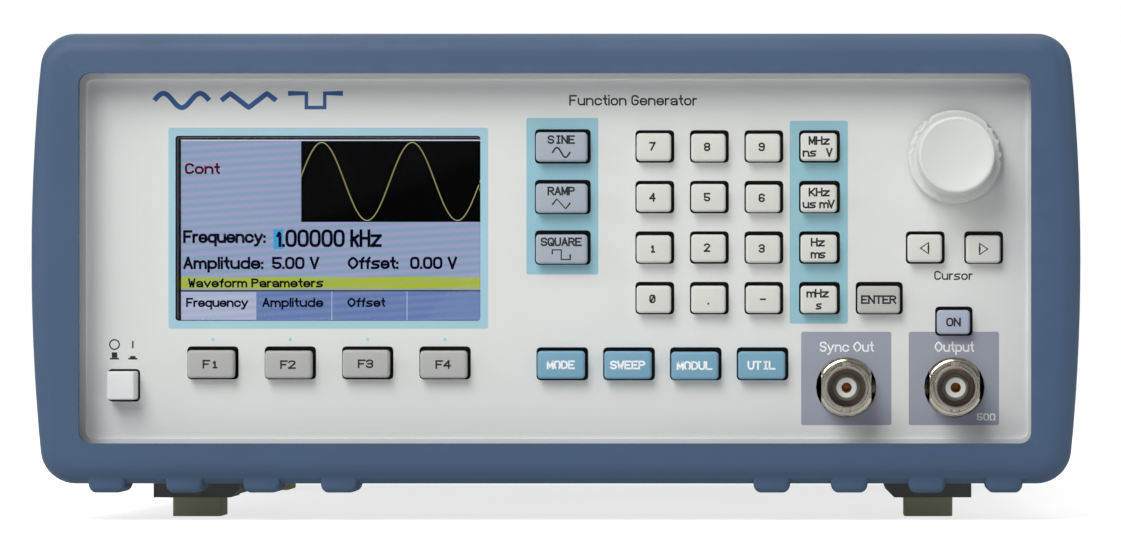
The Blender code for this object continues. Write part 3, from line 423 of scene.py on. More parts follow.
def metal(name, colour, roughness=0.25, stretch=(30.0, 2000.0, 2000.0), depth=0.004 * MM, tarnish=0.85):
    """Plated or brushed metal with fine lines and a cloudy tarnish."""
    finish = Finish(name, roughness, metallic=1.0)
    lines = finish.effect("brushing", stretch=stretch)
    texture = finish.effect("grain", grain=1500.0, mottle_size=120.0)
    finish.paint(finish.blend(texture["Mottle"], shade(colour, tarnish), tuple(colour)))
    finish.gloss(lines["Gloss"], 0, 1, roughness - 0.06, roughness + 0.1)
    finish.bump(lines["Height"], depth)
    return finish


def ink(name, colour):
    """Screen print: matt, with a slightly uneven density."""
    finish = Finish(name, 0.55)
    texture = finish.effect("grain", grain=2500.0, mottle_size=300.0)
    finish.paint(finish.blend(texture["Mottle"], shade(colour, 1.15), tuple(colour)))
    finish.bump(texture["Height"], 0.005 * MM)
    return finish


def lit(name, colour, banding=0.0, strength=1.0):
    """Part of the picture on the lit screen."""
    finish = Finish(name, 0.3)
    finish.shader.inputs["Specular IOR Level"].default_value = 0.0
    finish.paint(tint(2, 2, 2))
    bands = finish.effect("bands")
    glow = finish.blend(finish.sum("MULTIPLY", bands["Tone"], banding), tuple(colour), tint(134, 163, 184))
    glow = finish.blend(finish.sum("MULTIPLY", bands["Rows"], 0.12), glow, (0.0, 0.0, 0.0))
    finish.feed(glow, finish.shader.inputs["Emission Color"])
    finish.shader.inputs["Emission Strength"].default_value = strength
    return finish


def panel_finish(name, colour):
    """The front panel's plastic with its printed areas, and painted shade, black, on the walls of its holes.
    """
    finish = Finish(name, 0.5)
    texture = finish.effect("grain", grain=1300.0, mottle_size=18.0)
    base = finish.blend(texture["Mottle"], shade(colour, 0.97), tuple(colour))
    for printing, x, z, width, height in PANEL_AREAS:
        area_colour = mixed(printing)
        mask = finish.effect(
            "area",
            centre_x=x * MM,
            centre_z=PANEL_Z + z * MM,
            half_width=width / 2 * MM,
            half_height=height / 2 * MM,
            corner=0.5 * MM,
        )["Mask"]
        printed = finish.blend(texture["Mottle"], shade(area_colour, 0.95), tuple(area_colour))
        base = finish.blend(mask, base, printed)
    # painted shade: the walls of the key holes are painted black
    finish.paint(finish.black_behind(base, SHADE_PAINT_START))
    finish.gloss(texture["Height"], 0.3, 0.7, 0.45, 0.56)
    finish.bump(texture["Height"], 0.012 * MM)
    return finish


def finish_named(name):
    """Each finish is made once, when a piece first needs it."""
    if name not in made_finishes:
        make, colour, *values = FINISHES[name]
        made_finishes[name] = make(name, mixed(colour), *values).material
    return made_finishes[name]


# Each finish: what makes it, its colour, and its own values.
FINISHES = {
    "bumper_rubber": (moulded, "bumper", 0.56, 1100.0, 0.03 * MM, 0.35, 0.06, 0.93),
    "cover_paint": (moulded, "cover", 0.5, 650.0, 0.05 * MM, 0.3, 0.12, 0.96),
    "rear_paint": (moulded, ("cover", 0.97), 0.5, 650.0, 0.05 * MM, 0.3, 0.0, 0.96),
    "front_panel": (panel_finish, "panel"),
    "power_key": (moulded, (226, 229, 228), 0.4, 1600.0, 0.008 * MM, 0.1, 0.0, 0.975),
    "knob_plastic": (moulded, "knob", 0.4, 1400.0, 0.01 * MM, 0.15, 0.0, 0.98),
    "foot_plastic": (moulded, "foot", 0.62, 1000.0, 0.03 * MM, 0.4, 0.0, 0.85, None, "foot_pad"),
    "leg_plastic": (moulded, ("foot", 1.2), 0.55, 1000.0, 0.02 * MM, 0.4, 0.0, 0.88),
    "black_plastic": (moulded, (42, 42, 44), 0.42, 1200.0, 0.015 * MM, 0.5, 0.1, 0.85),
    "screen_surround": (moulded, (9, 9, 10), 0.6, 1200.0, 0.01 * MM, 0.1),
    "circuit_board": (moulded, (30, 92, 52), 0.4, 300.0, 0.02 * MM, 0.2, 0.1, 0.7),
    "supply_parts": (moulded, (92, 84, 66), 0.5, 400.0, 0.03 * MM, 0.4, 0.2, 0.6),
    "dielectric": (moulded, (238, 238, 234), 0.35, 1200.0, 0.006 * MM, 0.0, 0.0, 0.95),
    "chassis_steel": (metal, (190, 192, 194), 0.34, (1500.0, 20.0, 1500.0)),
    "shaft_metal": (metal, (188, 188, 184), 0.3),
    "nickel_plate": (metal, (214, 208, 194), 0.16, (900.0, 900.0, 900.0), 0.003 * MM, 0.8),
    # painted shade: darker brown metal for the inside of the socket bores
    "bore_metal": (metal, (140, 128, 116), 0.34, (900.0, 900.0, 900.0), 0.003 * MM, 0.6),
    "screw_steel": (metal, (176, 178, 180), 0.3, (700.0, 700.0, 700.0)),
    "contact_gold": (metal, (158, 104, 56), 0.28, (900.0, 900.0, 900.0), 0.003 * MM, 0.6),
    "dark_ink": (ink, "ink"),
    "white_ink": (ink, (238, 242, 246)),
    "blue_ink": (ink, (34, 84, 142)),
    "pale_ink": (ink, (150, 205, 226)),
    "screen_ink": (lit, (6, 6, 26)),
    "screen_red": (lit, (84, 4, 30)),
    "screen_trace": (lit, (206, 202, 132)),
}
for key_colour in ("white", "wave", "grey", "blue", "enter", "lilac"):
    FINISHES[f"key_{key_colour}"] = (key_plastic, f"key_{key_colour}")

# The printed areas: colour, x, z, width and height, in millimetres from the panel's centre.
PANEL_AREAS = (
    ("area_blue", -50.0, 6.7, 69.8, 43.9),
    ("area_deep", 1.1, 13.7, 15.7, 34.2),
    ("area_deep", 57.1, 8.0, 12.7, 44.3),
    ("area_lilac", 63.1, -26.1, 19.7, 20.4),
    ("area_lilac", 86.6, -26.1, 19.7, 20.4),
)


# Mesh tools


def add_block(bm, low, high, corner=0.0, along=1, segments=4):
    """Adds a box between two corners; the four edges that run along one axis can be rounded."""
    size = Vector(high) - Vector(low)
    centre = (Vector(high) + Vector(low)) / 2
    verts = bmesh.ops.create_cube(bm, size=1, matrix=Matrix.LocRotScale(centre, None, size))["verts"]
    if not corner:
        return verts
    across = [axis for axis in range(3) if axis != along]
    edges = {edge for vert in verts for edge in vert.link_edges}
    long_edges = [
        edge
        for edge in edges
        if all(abs(edge.verts[0].co[axis] - edge.verts[1].co[axis]) < 1e-7 for axis in across)
    ]
    return round_edges(bm, long_edges, corner, segments)


def round_edges(bm, edges, radius, segments=3):
    made = bmesh.ops.bevel(
        bm,
        geom=edges,
        offset=radius,
        offset_type="OFFSET",
        segments=segments,
        profile=0.5,
        affect="EDGES",
        material=-1,
        clamp_overlap=True,
    )
    return made["verts"]


def add_rod(bm, start, end, radius, segments=32, tip_radius=None):
    start, end = Vector(start), Vector(end)
    turn = (end - start).to_track_quat("Z", "Y").to_matrix().to_4x4()
    return bmesh.ops.create_cone(
        bm,
        cap_ends=True,
        segments=segments,
        radius1=radius,
        radius2=radius if tip_radius is None else tip_radius,
        depth=(end - start).length,
        matrix=Matrix.Translation((start + end) / 2) @ turn,
    )["verts"]


def cut_at(bm, axis, level):
    """Adds a loop of edges round the shape at a level along an axis."""
    everything = bm.verts[:] + bm.edges[:] + bm.faces[:]
    across = Vector([float(axis == index) for index in range(3)])
    bmesh.ops.bisect_plane(bm, geom=everything, plane_co=across * level, plane_no=across)


def edges_at(bm, axis, level, tolerance=1e-6):
    """Edges of the outline where a shape's flat end lies at this level."""
    bm.normal_update()
    found = [edge for edge in bm.edges if all(abs(vert.co[axis] - level) < tolerance for vert in edge.verts)]
    return [edge for edge in found if any(abs(face.normal[axis]) < 0.9 for face in edge.link_faces)]


CORE = 0.001  # inner radius of a turned profile, in millimetres, in place of its axis


def spin_profile(bm, profile, centre, facing, steps=None):
    """Turns (radius, reach) pairs in millimetres about a Y axis. Reach grows towards the facing side."""
    x, y, z = centre
    start = [bm.verts.new((x + radius * MM, y + facing * reach * MM, z)) for radius, reach in profile]
    edges = [bm.edges.new(pair) for pair in zip(start, start[1:])]
    before = set(bm.verts)
    bmesh.ops.spin(
        bm,
        geom=start + edges,
        cent=centre,
        axis=(0, 1, 0),
        angle=math.tau,
        steps=steps or sizes().turn_steps,
        use_merge=True,
        use_duplicate=False,
    )
    bmesh.ops.remove_doubles(bm, verts=bm.verts[:], dist=1e-7)
    bmesh.ops.recalc_face_normals(bm, faces=bm.faces[:])
    return [vert for vert in bm.verts if vert not in before]


def arc(centre, size, start, end, steps):
    """Points of an elliptical arc, from start to end in degrees; 0 is outward and 90 is forward."""
    turns = [math.radians(start + (end - start) * step / steps) for step in range(steps + 1)]
    return [(centre[0] + size[0] * math.cos(turn), centre[1] + size[1] * math.sin(turn)) for turn in turns]


def add_bar(bm, x, z, width, height, ends, corner=0.0, segments=2):
    """Adds a bar that runs along Y between two ends, with round corners."""
    start, end = sorted(ends)
    low = (x - width / 2, start, z - height / 2)
    return add_block(bm, low, (x + width / 2, end, z + height / 2), corner, 1, segments)


def raw_object(bm, name):
    mesh = bpy.data.meshes.new(name)
    bm.to_mesh(mesh)
    bm.free()
    obj = bpy.data.objects.new(name, mesh)
    bpy.context.scene.collection.objects.link(obj)
    return obj


def carve(obj, bm, operation="DIFFERENCE"):
    """Cuts the bmesh's shape from the object, or joins it on, and keeps the result as the object's mesh."""
    tool = raw_object(bm, "tool")
    step = obj.modifiers.new("Carve", "BOOLEAN")
    step.operation = operation
    step.object = tool
    step.solver = "EXACT"
    evaluated = obj.evaluated_get(bpy.context.evaluated_depsgraph_get())
    result = bpy.data.meshes.new_from_object(evaluated)
    result.validate()
    obj.modifiers.clear()
    obj.data = result
    bpy.data.objects.remove(tool)


def piece(obj, body, finish, slot, *nodes, smooth=35.0):
    """Gives an object its finish and shading, and puts it on its body in place of the nodes it stands for."""
    obj.data.materials.clear()
    obj.data.materials.append(finish_named(finish))
    obj.data.shade_smooth()
    obj.data.set_sharp_from_angle(angle=math.radians(smooth))
    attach(obj, body)
    if nodes:
        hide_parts(*nodes)
    return obj


def soften(node, body, finish, slot, radius=None, segments=2, angle=40.0):
    """A merged copy of a frame node with small round edges, in place of the node."""
    bm = bmesh.new()
    bm.from_mesh(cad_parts[node].data)
    bmesh.ops.remove_doubles(bm, verts=bm.verts[:], dist=1e-6)
    bmesh.ops.dissolve_limit(bm, angle_limit=math.radians(0.5), verts=bm.verts[:], edges=bm.edges[:])
    obj = raw_object(bm, f"{node}_body")
    for name in ("custom_normal", "sharp_edge", "sharp_face"):
        if name in obj.data.attributes:
            obj.data.attributes.remove(obj.data.attributes[name])
    rounding = obj.modifiers.new("Soft Edges", "BEVEL")
    rounding.width = radius or sizes().edge_softness
    rounding.segments = segments
    rounding.limit_method = "ANGLE"
    rounding.angle_limit = math.radians(angle)
    rounding.harden_normals = True
    return piece(obj, body, finish, slot, node, smooth=angle)


# Lettering

# Each point is a step across and a step up. Letters stand on step 2, small letters reach 6 and capitals 8.
GLYPHS = {
    "0": "22 12 03 07 18 38 47 43 32 22", "1": "16 28 22", "2": "07 18 38 47 46 02/02 42",
    "3": "07 18 38 47 46 35 15/35 44 43 32 12 03", "4": "32 38/38 04/04 44",
    "5": "48 08/08 05/05 35 44 43 32 12 03",
    "6": "47 38 18 07 03 12 32 43 44 35 15 04", "7": "08 48/48 12",
    "8": "25 15 06 07 18 38 47 46 35 25/25 15 04 03 12 32 43 44 35 25",
    "9": "03 12 32 43 47 38 18 07 06 15 35 46",
    ".": "02", ":": "02/05", "-": "05 35", "Ω": "02 12/12 04 07 18 38 47 44 32/32 42",
    "A": "02 28/28 42/14 34", "B": "02 08/08 38 47 46 35 05/35 44 43 32 02", "C": "47 38 18 07 03 12 32 43",
    "D": "02 08/08 28 47 43 22 02", "E": "48 08/08 02/02 42/05 35", "F": "48 08/08 02/05 35",
    "G": "47 38 18 07 03 12 32 43 45 25", "H": "08 02/48 42/05 45", "I": "08 02", "K": "08 02/48 04/15 42",
    "L": "08 02/02 42", "M": "02 08/08 23/23 48/48 42", "N": "02 08/08 42/42 48",
    "O": "22 04 06 28 38 56 54 32 22", "P": "02 08/08 38 47 46 35 05",
    "Q": "22 12 03 07 18 38 47 43 32 22/24 42",
    "R": "02 08/08 38 47 46 35 05/25 42", "S": "47 38 18 07 06 15 35 44 43 32 12 03", "T": "08 48/28 22",
    "U": "08 03 12 32 43 48", "V": "08 22/22 48", "W": "08 12/12 26/26 32/32 48",
    "a": "05 16 36 45 42/44 14 03 12 32 43", "c": "45 36 16 05 03 12 32 43",
    "d": "48 42/45 36 16 05 03 12 32 43",
    "e": "04 44/44 45 36 16 05 03 12 32 43", "f": "28 17 12/06 26", "i": "06 02/08", "k": "08 02/36 04/15 32",
    "l": "08 02", "m": "06 02/05 16 26 35 32/35 46 56 65 62", "n": "06 02/05 16 36 45 42",
    "o": "22 12 03 05 16 36 45 43 32 22", "p": "06 00/05 16 36 45 43 32 12 03",
    "q": "46 40/45 36 16 05 03 12 32 43",
    "r": "06 02/05 16 26", "s": "46 16 05 14 34 43 32 02", "t": "18 13 22/06 26", "u": "06 03 12 32 43/46 42",
    "v": "06 22/22 46", "y": "06 22/46 22 10 00", "z": "06 46/46 02/02 42",
}
NARROW_O = "22 12 03 07 18 38 47 43 32 22"
KEY_GLYPHS = {"0": NARROW_O + "/13 37", "1": "16 28 22/12 32", "I": "18 38/28 22/12 32", "O": NARROW_O}
BASE_STEP, CAPITAL_STEPS, LETTER_GAP, SPACE_STEPS, KEY_PITCH = 2, 6, 1.6, 2.6, 5.4


def round_corners(points, rounds=2):
    """Cuts each corner of a line twice, which turns it into a smooth bend. Its two ends stay."""
    for _ in range(rounds):
        cut = [points[0]]
        for start, end in zip(points, points[1:]):
            cut.append(tuple(0.75 * a + 0.25 * b for a, b in zip(start, end)))
            cut.append(tuple(0.25 * a + 0.75 * b for a, b in zip(start, end)))
        del cut[1], cut[-1]
        points = cut + [points[-1]]
    return points


def letter_paths(letter, on_key):
    """The strokes of a letter in steps, with their width."""
    glyph = KEY_GLYPHS.get(letter, GLYPHS[letter]) if on_key else GLYPHS[letter]
    lines = [line.split() for line in glyph.split("/")]
    strokes = [[(int(pair[0]), int(pair[1]) - BASE_STEP) for pair in line] for line in lines]
    width = max(x for stroke in strokes for x, _ in stroke)
    for index, stroke in enumerate(strokes):
        if len(stroke) == 1:
            x, up = stroke[0]
            strokes[index] = [(x, up), (x, up + 0.05)]
        elif len(stroke) > 2:
            strokes[index] = round_corners(stroke)
    return strokes, width


def line_paths(text, on_key):
    """The strokes of a line of text in steps, with its whole width. Letters on keys keep an even pitch."""
    paths, left = [], 0.0
    for letter in text:
        if letter == " ":
            left += SPACE_STEPS
            continue
        strokes, width = letter_paths(letter, on_key)
        slot = 4 if on_key else width
        start = left + (slot - width) / 2
        paths += [[(start + x, up) for x, up in stroke] for stroke in strokes]
        left += KEY_PITCH if on_key else slot + LETTER_GAP
    return paths, left - (KEY_PITCH - 4 if on_key else LETTER_GAP)


def add_words(bm, text, x, y, z, height, width=None, weight=0.14, facing=-1, align="LEFT", on_key=False):
    """Adds words that stand on z. Height is a capital's, width the line's, and weight the stroke's share."""
    stroke = weight * height
    paths, steps = line_paths(text, on_key)
    up = (height - stroke) / CAPITAL_STEPS
    across = (width - stroke) / steps if width else up
    start = stroke / 2 if align == "LEFT" else -steps * across / 2
    placed = [[(start + a * across, stroke / 2 + b * up) for a, b in path] for path in paths]
    add_strokes(bm, [run_on(path, stroke / 2) for path in placed], x, y, z, stroke, facing)


def run_on(path, reach):
    """Takes a line a little past both its ends, so that its flat caps cover them."""
    points = [Vector(point) for point in path]
    first = points[0] + (points[0] - points[1]).normalized() * reach
    last = points[-1] + (points[-1] - points[-2]).normalized() * reach
    return [first, *points[1:-1], last]


def add_strokes(bm, paths, x, y, z, width, facing=-1):
    """Draws flat lines with round ends on a plane that faces along Y."""
    curve = bpy.data.curves.new("strokes", "CURVE")
    curve.dimensions = "3D"
    curve.bevel_depth = width / 2
    curve.bevel_resolution = 1
    curve.use_fill_caps = True
    for path in paths:
        spline = curve.splines.new("POLY")
        spline.points.add(len(path) - 1)
        for point, (across, up) in zip(spline.points, path):
            point.co = (across, up, 0, 1)
    flatten = Matrix.Diagonal((1, 1, 2 * PRINT_LIFT / width, 1))
    add_curve(bm, curve, Matrix.Translation((x, y, z)) @ facing_turn(facing) @ flatten)


def facing_turn(facing):
    """Stands a drawing in the XY plane up, so that its front looks along -Y or +Y."""
    upright = Matrix.Rotation(math.radians(90), 4, "X")
    return upright if facing < 0 else Matrix.Rotation(math.pi, 4, "Z") @ upright


def add_curve(bm, curve, matrix):
    """Adds a curve's mesh to the bmesh, in place, closed and facing out."""
    obj = bpy.data.objects.new("drawing", curve)
    bpy.context.scene.collection.objects.link(obj)
    mesh = bpy.data.meshes.new_from_object(obj.evaluated_get(bpy.context.evaluated_depsgraph_get()))
    bpy.data.objects.remove(obj)
    mesh.transform(matrix)
    part = bmesh.new()
    part.from_mesh(mesh)
    bmesh.ops.remove_doubles(part, verts=part.verts[:], dist=1e-7)
    bmesh.ops.recalc_face_normals(part, faces=part.faces[:])
    part.to_mesh(mesh)
    part.free()
    bm.from_mesh(mesh)
    bpy.data.meshes.remove(mesh)


def printed(name, body, finish, slot, *drawings):
    """One printed piece made of several words or strokes. Each drawing is a function and its arguments."""
    bm = bmesh.new()
    for draw, *values in drawings:
        draw(bm, *values)
    return piece(raw_object(bm, name), body, finish, slot, smooth=30.0)


# Pieces


RIB_START, RIB_PITCH, RIBS_PER_SIDE = 46.9 * MM, 16.8 * MM, 4
RIB_WIDTH, RIB_FOOT, RIB_HEIGHT = 8.6 * MM, 7.4 * MM, 5.3 * MM
RIB_INSET, RIB_END = 1.3 * MM, 13.5 * MM  # from the bumper's outer end


def add_rib(bm, x, bottom, outer, inward):
    """One rib under a bumper, narrower at its foot, with a soft front."""
    start, end = sorted((outer + inward * RIB_INSET, outer + inward * RIB_END))
    rib = bmesh.new()
    half = RIB_WIDTH / 2
    add_block(rib, (x - half, start, bottom), (x + half, end, bottom + RIB_HEIGHT), 1.5 * MM, 1, 5)
    for level in (start, end):
        round_edges(rib, edges_at(rib, 1, level), 1.1 * MM, 3)
    for vert in rib.verts:
        share = min(1.0, (vert.co.z - bottom) / (0.7 * RIB_HEIGHT))
        vert.co.x = x + (vert.co.x - x) * (RIB_FOOT + (RIB_WIDTH - RIB_FOOT) * share) / RIB_WIDTH
    absorb(bm, rib)


def absorb(bm, other):
    """Adds another bmesh's shape to this one, and frees the other."""
    mesh = bpy.data.meshes.new("part")
    other.to_mesh(mesh)
    other.free()
    bm.from_mesh(mesh)
    bpy.data.meshes.remove(mesh)


def opening_shape(outer, inward):
    """The bumper's opening: a straight lip at the outer end, a little wider behind it."""
    half_width, half_height, reach = 103.1 * MM, 40.1 * MM, 60 * MM
    lip, depth, undercut = 1.5 * MM, 6.0 * MM, 1.3 * MM
    bm = bmesh.new()
    low = (-half_width, outer - reach, PANEL_Z - half_height)
    add_block(bm, low, (half_width, outer + reach, PANEL_Z + half_height), 2.4 * MM, 1, 6)
    for level in (lip, depth):
        cut_at(bm, 1, outer + inward * level)
    for vert in bm.verts:
        deep = (vert.co.y - outer) * inward
        widen = undercut * min(1.0, max(0.0, (deep - lip) / (depth - lip)))
        vert.co.x += math.copysign(widen, vert.co.x)
        vert.co.z += math.copysign(widen, vert.co.z - PANEL_Z)
    return bm


def build_bumper(node, outer_is_low):
    """A rubber sleeve with bowed sides, a broad round edge, a lip round the opening, and ribs underneath."""
    low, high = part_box(node)
    outer, inner = (low.y, high.y) if outer_is_low else (high.y, low.y)
    inward = 1 if outer_is_low else -1
    bow = sizes().bumper_bow
    half_width = high.x - bow
    half_height = high.z - PANEL_Z
    bm = bmesh.new()
    add_block(bm, (-half_width, low.y, PANEL_Z - half_height), (half_width, high.y, high.z))
    steps = 16
    for step in range(2, steps - 1):
        cut_at(bm, 2, PANEL_Z + half_height * (2 * step / steps - 1))
    for vert in bm.verts:
        vert.co.x += math.copysign(bow * (1 - ((vert.co.z - PANEL_Z) / half_height) ** 2), vert.co.x)
    outermost = [edge for edge in bm.edges if abs(edge.verts[0].co.z - PANEL_Z) > 0.99 * half_height]
    corners = [edge for edge in outermost if abs(edge.verts[0].co.y - edge.verts[1].co.y) > 1 * MM]
    round_edges(bm, corners, sizes().bumper_corner, 10)
    round_edges(bm, edges_at(bm, 1, outer), sizes().bumper_rounding, 8)
    round_edges(bm, edges_at(bm, 1, inner), 1.0 * MM, 3)
    obj = raw_object(bm, f"{node}_rubber")

    bm = bmesh.new()
    for side in (-1, 1):
        for count in range(RIBS_PER_SIDE):
            add_rib(bm, side * (RIB_START + RIB_PITCH * count), low.z, outer, inward)
    carve(obj, bm, "UNION")

    carve(obj, opening_shape(outer, inward))
    gap = 0.3 * MM
    cover_low, cover_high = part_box("top_cover")
    lip = PANEL_LOW.y - gap if outer_is_low else REAR_FACE + gap
    start, end = sorted((lip, inner + inward * 10 * MM))
    bm = bmesh.new()
    add_block(
        bm, (cover_low.x - gap, start, cover_low.z - gap), (cover_high.x + gap, end, cover_high.z + gap)
    )
    carve(obj, bm)
    rounding = obj.modifiers.new("Soft Edges", "BEVEL")
    rounding.width = 0.7 * MM
    rounding.segments = 3
    rounding.limit_method = "ANGLE"
    rounding.angle_limit = math.radians(45)
    rounding.harden_normals = True
    piece(obj, CABINET, "bumper_rubber", "bumper_rubber", node, smooth=45)


class GENERATOR_OT_bumpers(bpy.types.Operator):
    """Make the two rubber bumpers"""

    bl_idname = "generator.bumpers"
    bl_label = "Bumpers"

    def execute(self, context):
        build_bumper("front_bumper", True)
        build_bumper("rear_bumper", False)
        return {"FINISHED"}


class GENERATOR_OT_case(bpy.types.Operator):
    """Make the painted cover, the chassis and the rear panel"""

    bl_idname = "generator.case"
    bl_label = "Case"

    def execute(self, context):
        soften("top_cover", CABINET, "cover_paint", "cover_paint", 0.3 * MM)
        soften("rear_panel", CABINET, "rear_paint", "rear_paint", 0.3 * MM)
        soften("base_chassis", CABINET, "chassis_steel", "chassis_steel", 0.3 * MM)
        return {"FINISHED"}


class GENERATOR_OT_front_panel(bpy.types.Operator):
    """Make the moulded front panel with its printed areas"""

    bl_idname = "generator.front_panel"
    bl_label = "Front Panel"

    def execute(self, context):
        soften("front_panel", CABINET, "front_panel", "panel_plastic", 0.18 * MM)
        return {"FINISHED"}


def build_cap(bm, low, high, corner, rounding):
    """A key cap that looks towards -Y, with round corners and a soft front edge."""
    add_block(bm, low, high, corner, 1, 5)
    round_edges(bm, edges_at(bm, 1, low.y), rounding, 4)


KEY_FLANGE = 0.8 * MM
KEY_SAG = 0.1 * MM
KEY_STEM = 3.0 * MM
KEY_FINISHES = {
    "wave": ("key_sine", "key_ramp", "key_square"),
    "grey": ("key_f1", "key_f2", "key_f3", "key_f4"),
    "blue": ("key_mode", "key_sweep", "key_modulation", "key_utility"),
    "enter": ("key_enter",),
    "lilac": ("key_output_on",),
}


def key_finish(node):
    for colour, nodes in KEY_FINISHES.items():
        if node in nodes:
            return f"key_{colour}"
    return "key_white"


def cap_size(node):
    """A key's cap as (low, high). Caps hang a little low and left in their holes, each by its own amount."""
    low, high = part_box(node)
    drop = KEY_SAG * math.sin(2.4 * KEY_NODES.index(node))
    if node == "key_enter":
        drop += 0.12 * MM
    left, right, bottom, top = 0.36 * MM, 0.7 * MM, 0.3 * MM - drop, 0.86 * MM + drop
    cap_low = (low.x + KEY_FLANGE + left, low.y, low.z + KEY_FLANGE + KEY_SAG + bottom)
    cap_high = (high.x - KEY_FLANGE - right, PANEL_HIGH.y + 0.3 * MM, high.z - KEY_FLANGE + KEY_SAG - top)
    return Vector(cap_low), Vector(cap_high)


class GENERATOR_OT_keys(bpy.types.Operator):
    """Make every key: its cap, flange and stem"""

    bl_idname = "generator.keys"
    bl_label = "Keys"

    def execute(self, context):
        for node in KEY_NODES:
            low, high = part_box(node)
            cap_low, cap_high = cap_size(node)
            bm = bmesh.new()
            build_cap(bm, cap_low, cap_high + Vector((0, 0.3 * MM, 0)), 0.8 * MM, sizes().cap_rounding)
            obj = raw_object(bm, f"{node}_cap")
            bm = bmesh.new()
            flange_back = cap_high.y + 1 * MM
            add_block(bm, (low.x, cap_high.y, low.z), (high.x, flange_back, high.z), 0.6 * MM, 1, 2)
            carve(obj, bm, "UNION")
            bm = bmesh.new()
            centre = (low + high) / 2
            ends = (flange_back - 0.2 * MM, high.y)
            add_bar(bm, centre.x, centre.z, KEY_STEM, KEY_STEM, ends, 0.4 * MM)
            carve(obj, bm, "UNION")
            finish = key_finish(node)
            piece(obj, node, finish, finish, node, smooth=40)
        return {"FINISHED"}


# Each legend: the text, where its middle stands from the cap's middle, and its width, in millimetres.
LEGENDS = {
    "key_point": ((".", 0, -0.2, 1.5),),
    "key_minus": (("-", 0, 0, 1.6),),
    "key_unit_mega": (("MHz", 0.1, 1.35, 4.6), ("ns", -2.0, -1.25, 3.0), ("V", 2.3, -1.25, 1.45)),
    "key_unit_kilo": (("KHz", 0.1, 1.35, 4.6), ("us", -2.05, -1.25, 2.95), ("mV", 1.95, -1.25, 3.1)),
    "key_unit_hertz": (("Hz", -0.2, 1.35, 3.05), ("ms", 0, -1.25, 3.0)),
    "key_unit_milli": (("mHz", -0.1, 1.35, 4.6), ("s", 0, -1.25, 1.35)),
    "key_sine": (("SINE", 0, 1.55, 6.0),),
    "key_ramp": (("RAMP", 0, 1.55, 6.0),),
    "key_square": (("SQUARE", 0, 1.55, 9.0),),
    "key_mode": (("MODE", 0, 0, 6.1),),
    "key_sweep": (("SWEEP", 0, 0, 7.7),),
    "key_modulation": (("MODUL", 0, 0, 7.8),),
    "key_utility": (("UTIL", 0, 0, 6.1),),
    "key_enter": (("ENTER", 0, 0, 7.7),),
    "key_output_on": (("ON", 0, 0, 3.2),),
}
LEGENDS |= {f"key_f{count}": ((f"F{count}", 0, 0, 3.4),) for count in range(1, 5)}
LEGENDS |= {f"key_{digit}": ((str(digit), -0.25, 0.1, 1.4),) for digit in range(10)}
LEGEND_HEIGHT = 1.9 * MM
WAVE_DROP = 1.25 * MM  # how far a waveform key's drawing sits under its middle


def waveform_path(kind):
    """The little wave on a waveform key, in metres."""
    width, height = 3.9 * MM, 2.1 * MM
    if kind == "key_ramp":
        points = [(-0.5, -0.1), (-0.25, 0.5), (0.25, -0.5), (0.5, 0.1)]
    elif kind == "key_square":
        points = [(-0.5, 0.05), (-0.5, 0.5), (0, 0.5), (0, -0.5), (0.5, -0.5), (0.5, 0.05)]
    else:
        shares = [step / 24 for step in range(25)]
        points = [(share - 0.5, 0.5 * math.sin(math.tau * (share * 1.04 - 0.02))) for share in shares]
    return [[(x * width, z * height) for x, z in points]]


def triangle_path(pointing):
    corners = ((-0.8, 0.0), (-0.8, 1.2), (0.95, 0.0), (-0.8, -1.2), (-0.8, 0.0))
    return [[(pointing * x * MM, z * MM) for x, z in corners]]


class GENERATOR_OT_legends(bpy.types.Operator):
    """Print the legends on the keys"""

    bl_idname = "generator.legends"
    bl_label = "Key Legends"

    def execute(self, context):
        stroke = sizes().legend_stroke
        for node in KEY_NODES:
            low, high = cap_size(node)
            x, y, z = (low.x + high.x) / 2, low.y, (low.z + high.z) / 2
            drawings = []
            for text, across, up, width in LEGENDS.get(node, ()):
                base = z + up * MM - LEGEND_HEIGHT / 2
                spot = (text, x + across * MM, y, base, LEGEND_HEIGHT, width * MM, stroke / LEGEND_HEIGHT)
                drawings.append((add_words, *spot, -1, "CENTER", True))
            if node in KEY_FINISHES["wave"]:
                drawings.append((add_strokes, waveform_path(node), x, y, z - WAVE_DROP, stroke))
            if node.startswith("key_cursor"):
                pointing = -1 if node.endswith("left") else 1
                drawings.append((add_strokes, triangle_path(pointing), x, y, z, 1.15 * stroke))
            white = node in KEY_FINISHES["blue"]
            printed(f"{node}_legend", node, "white_ink" if white else "dark_ink", key_finish(node), *drawings)
        return {"FINISHED"}


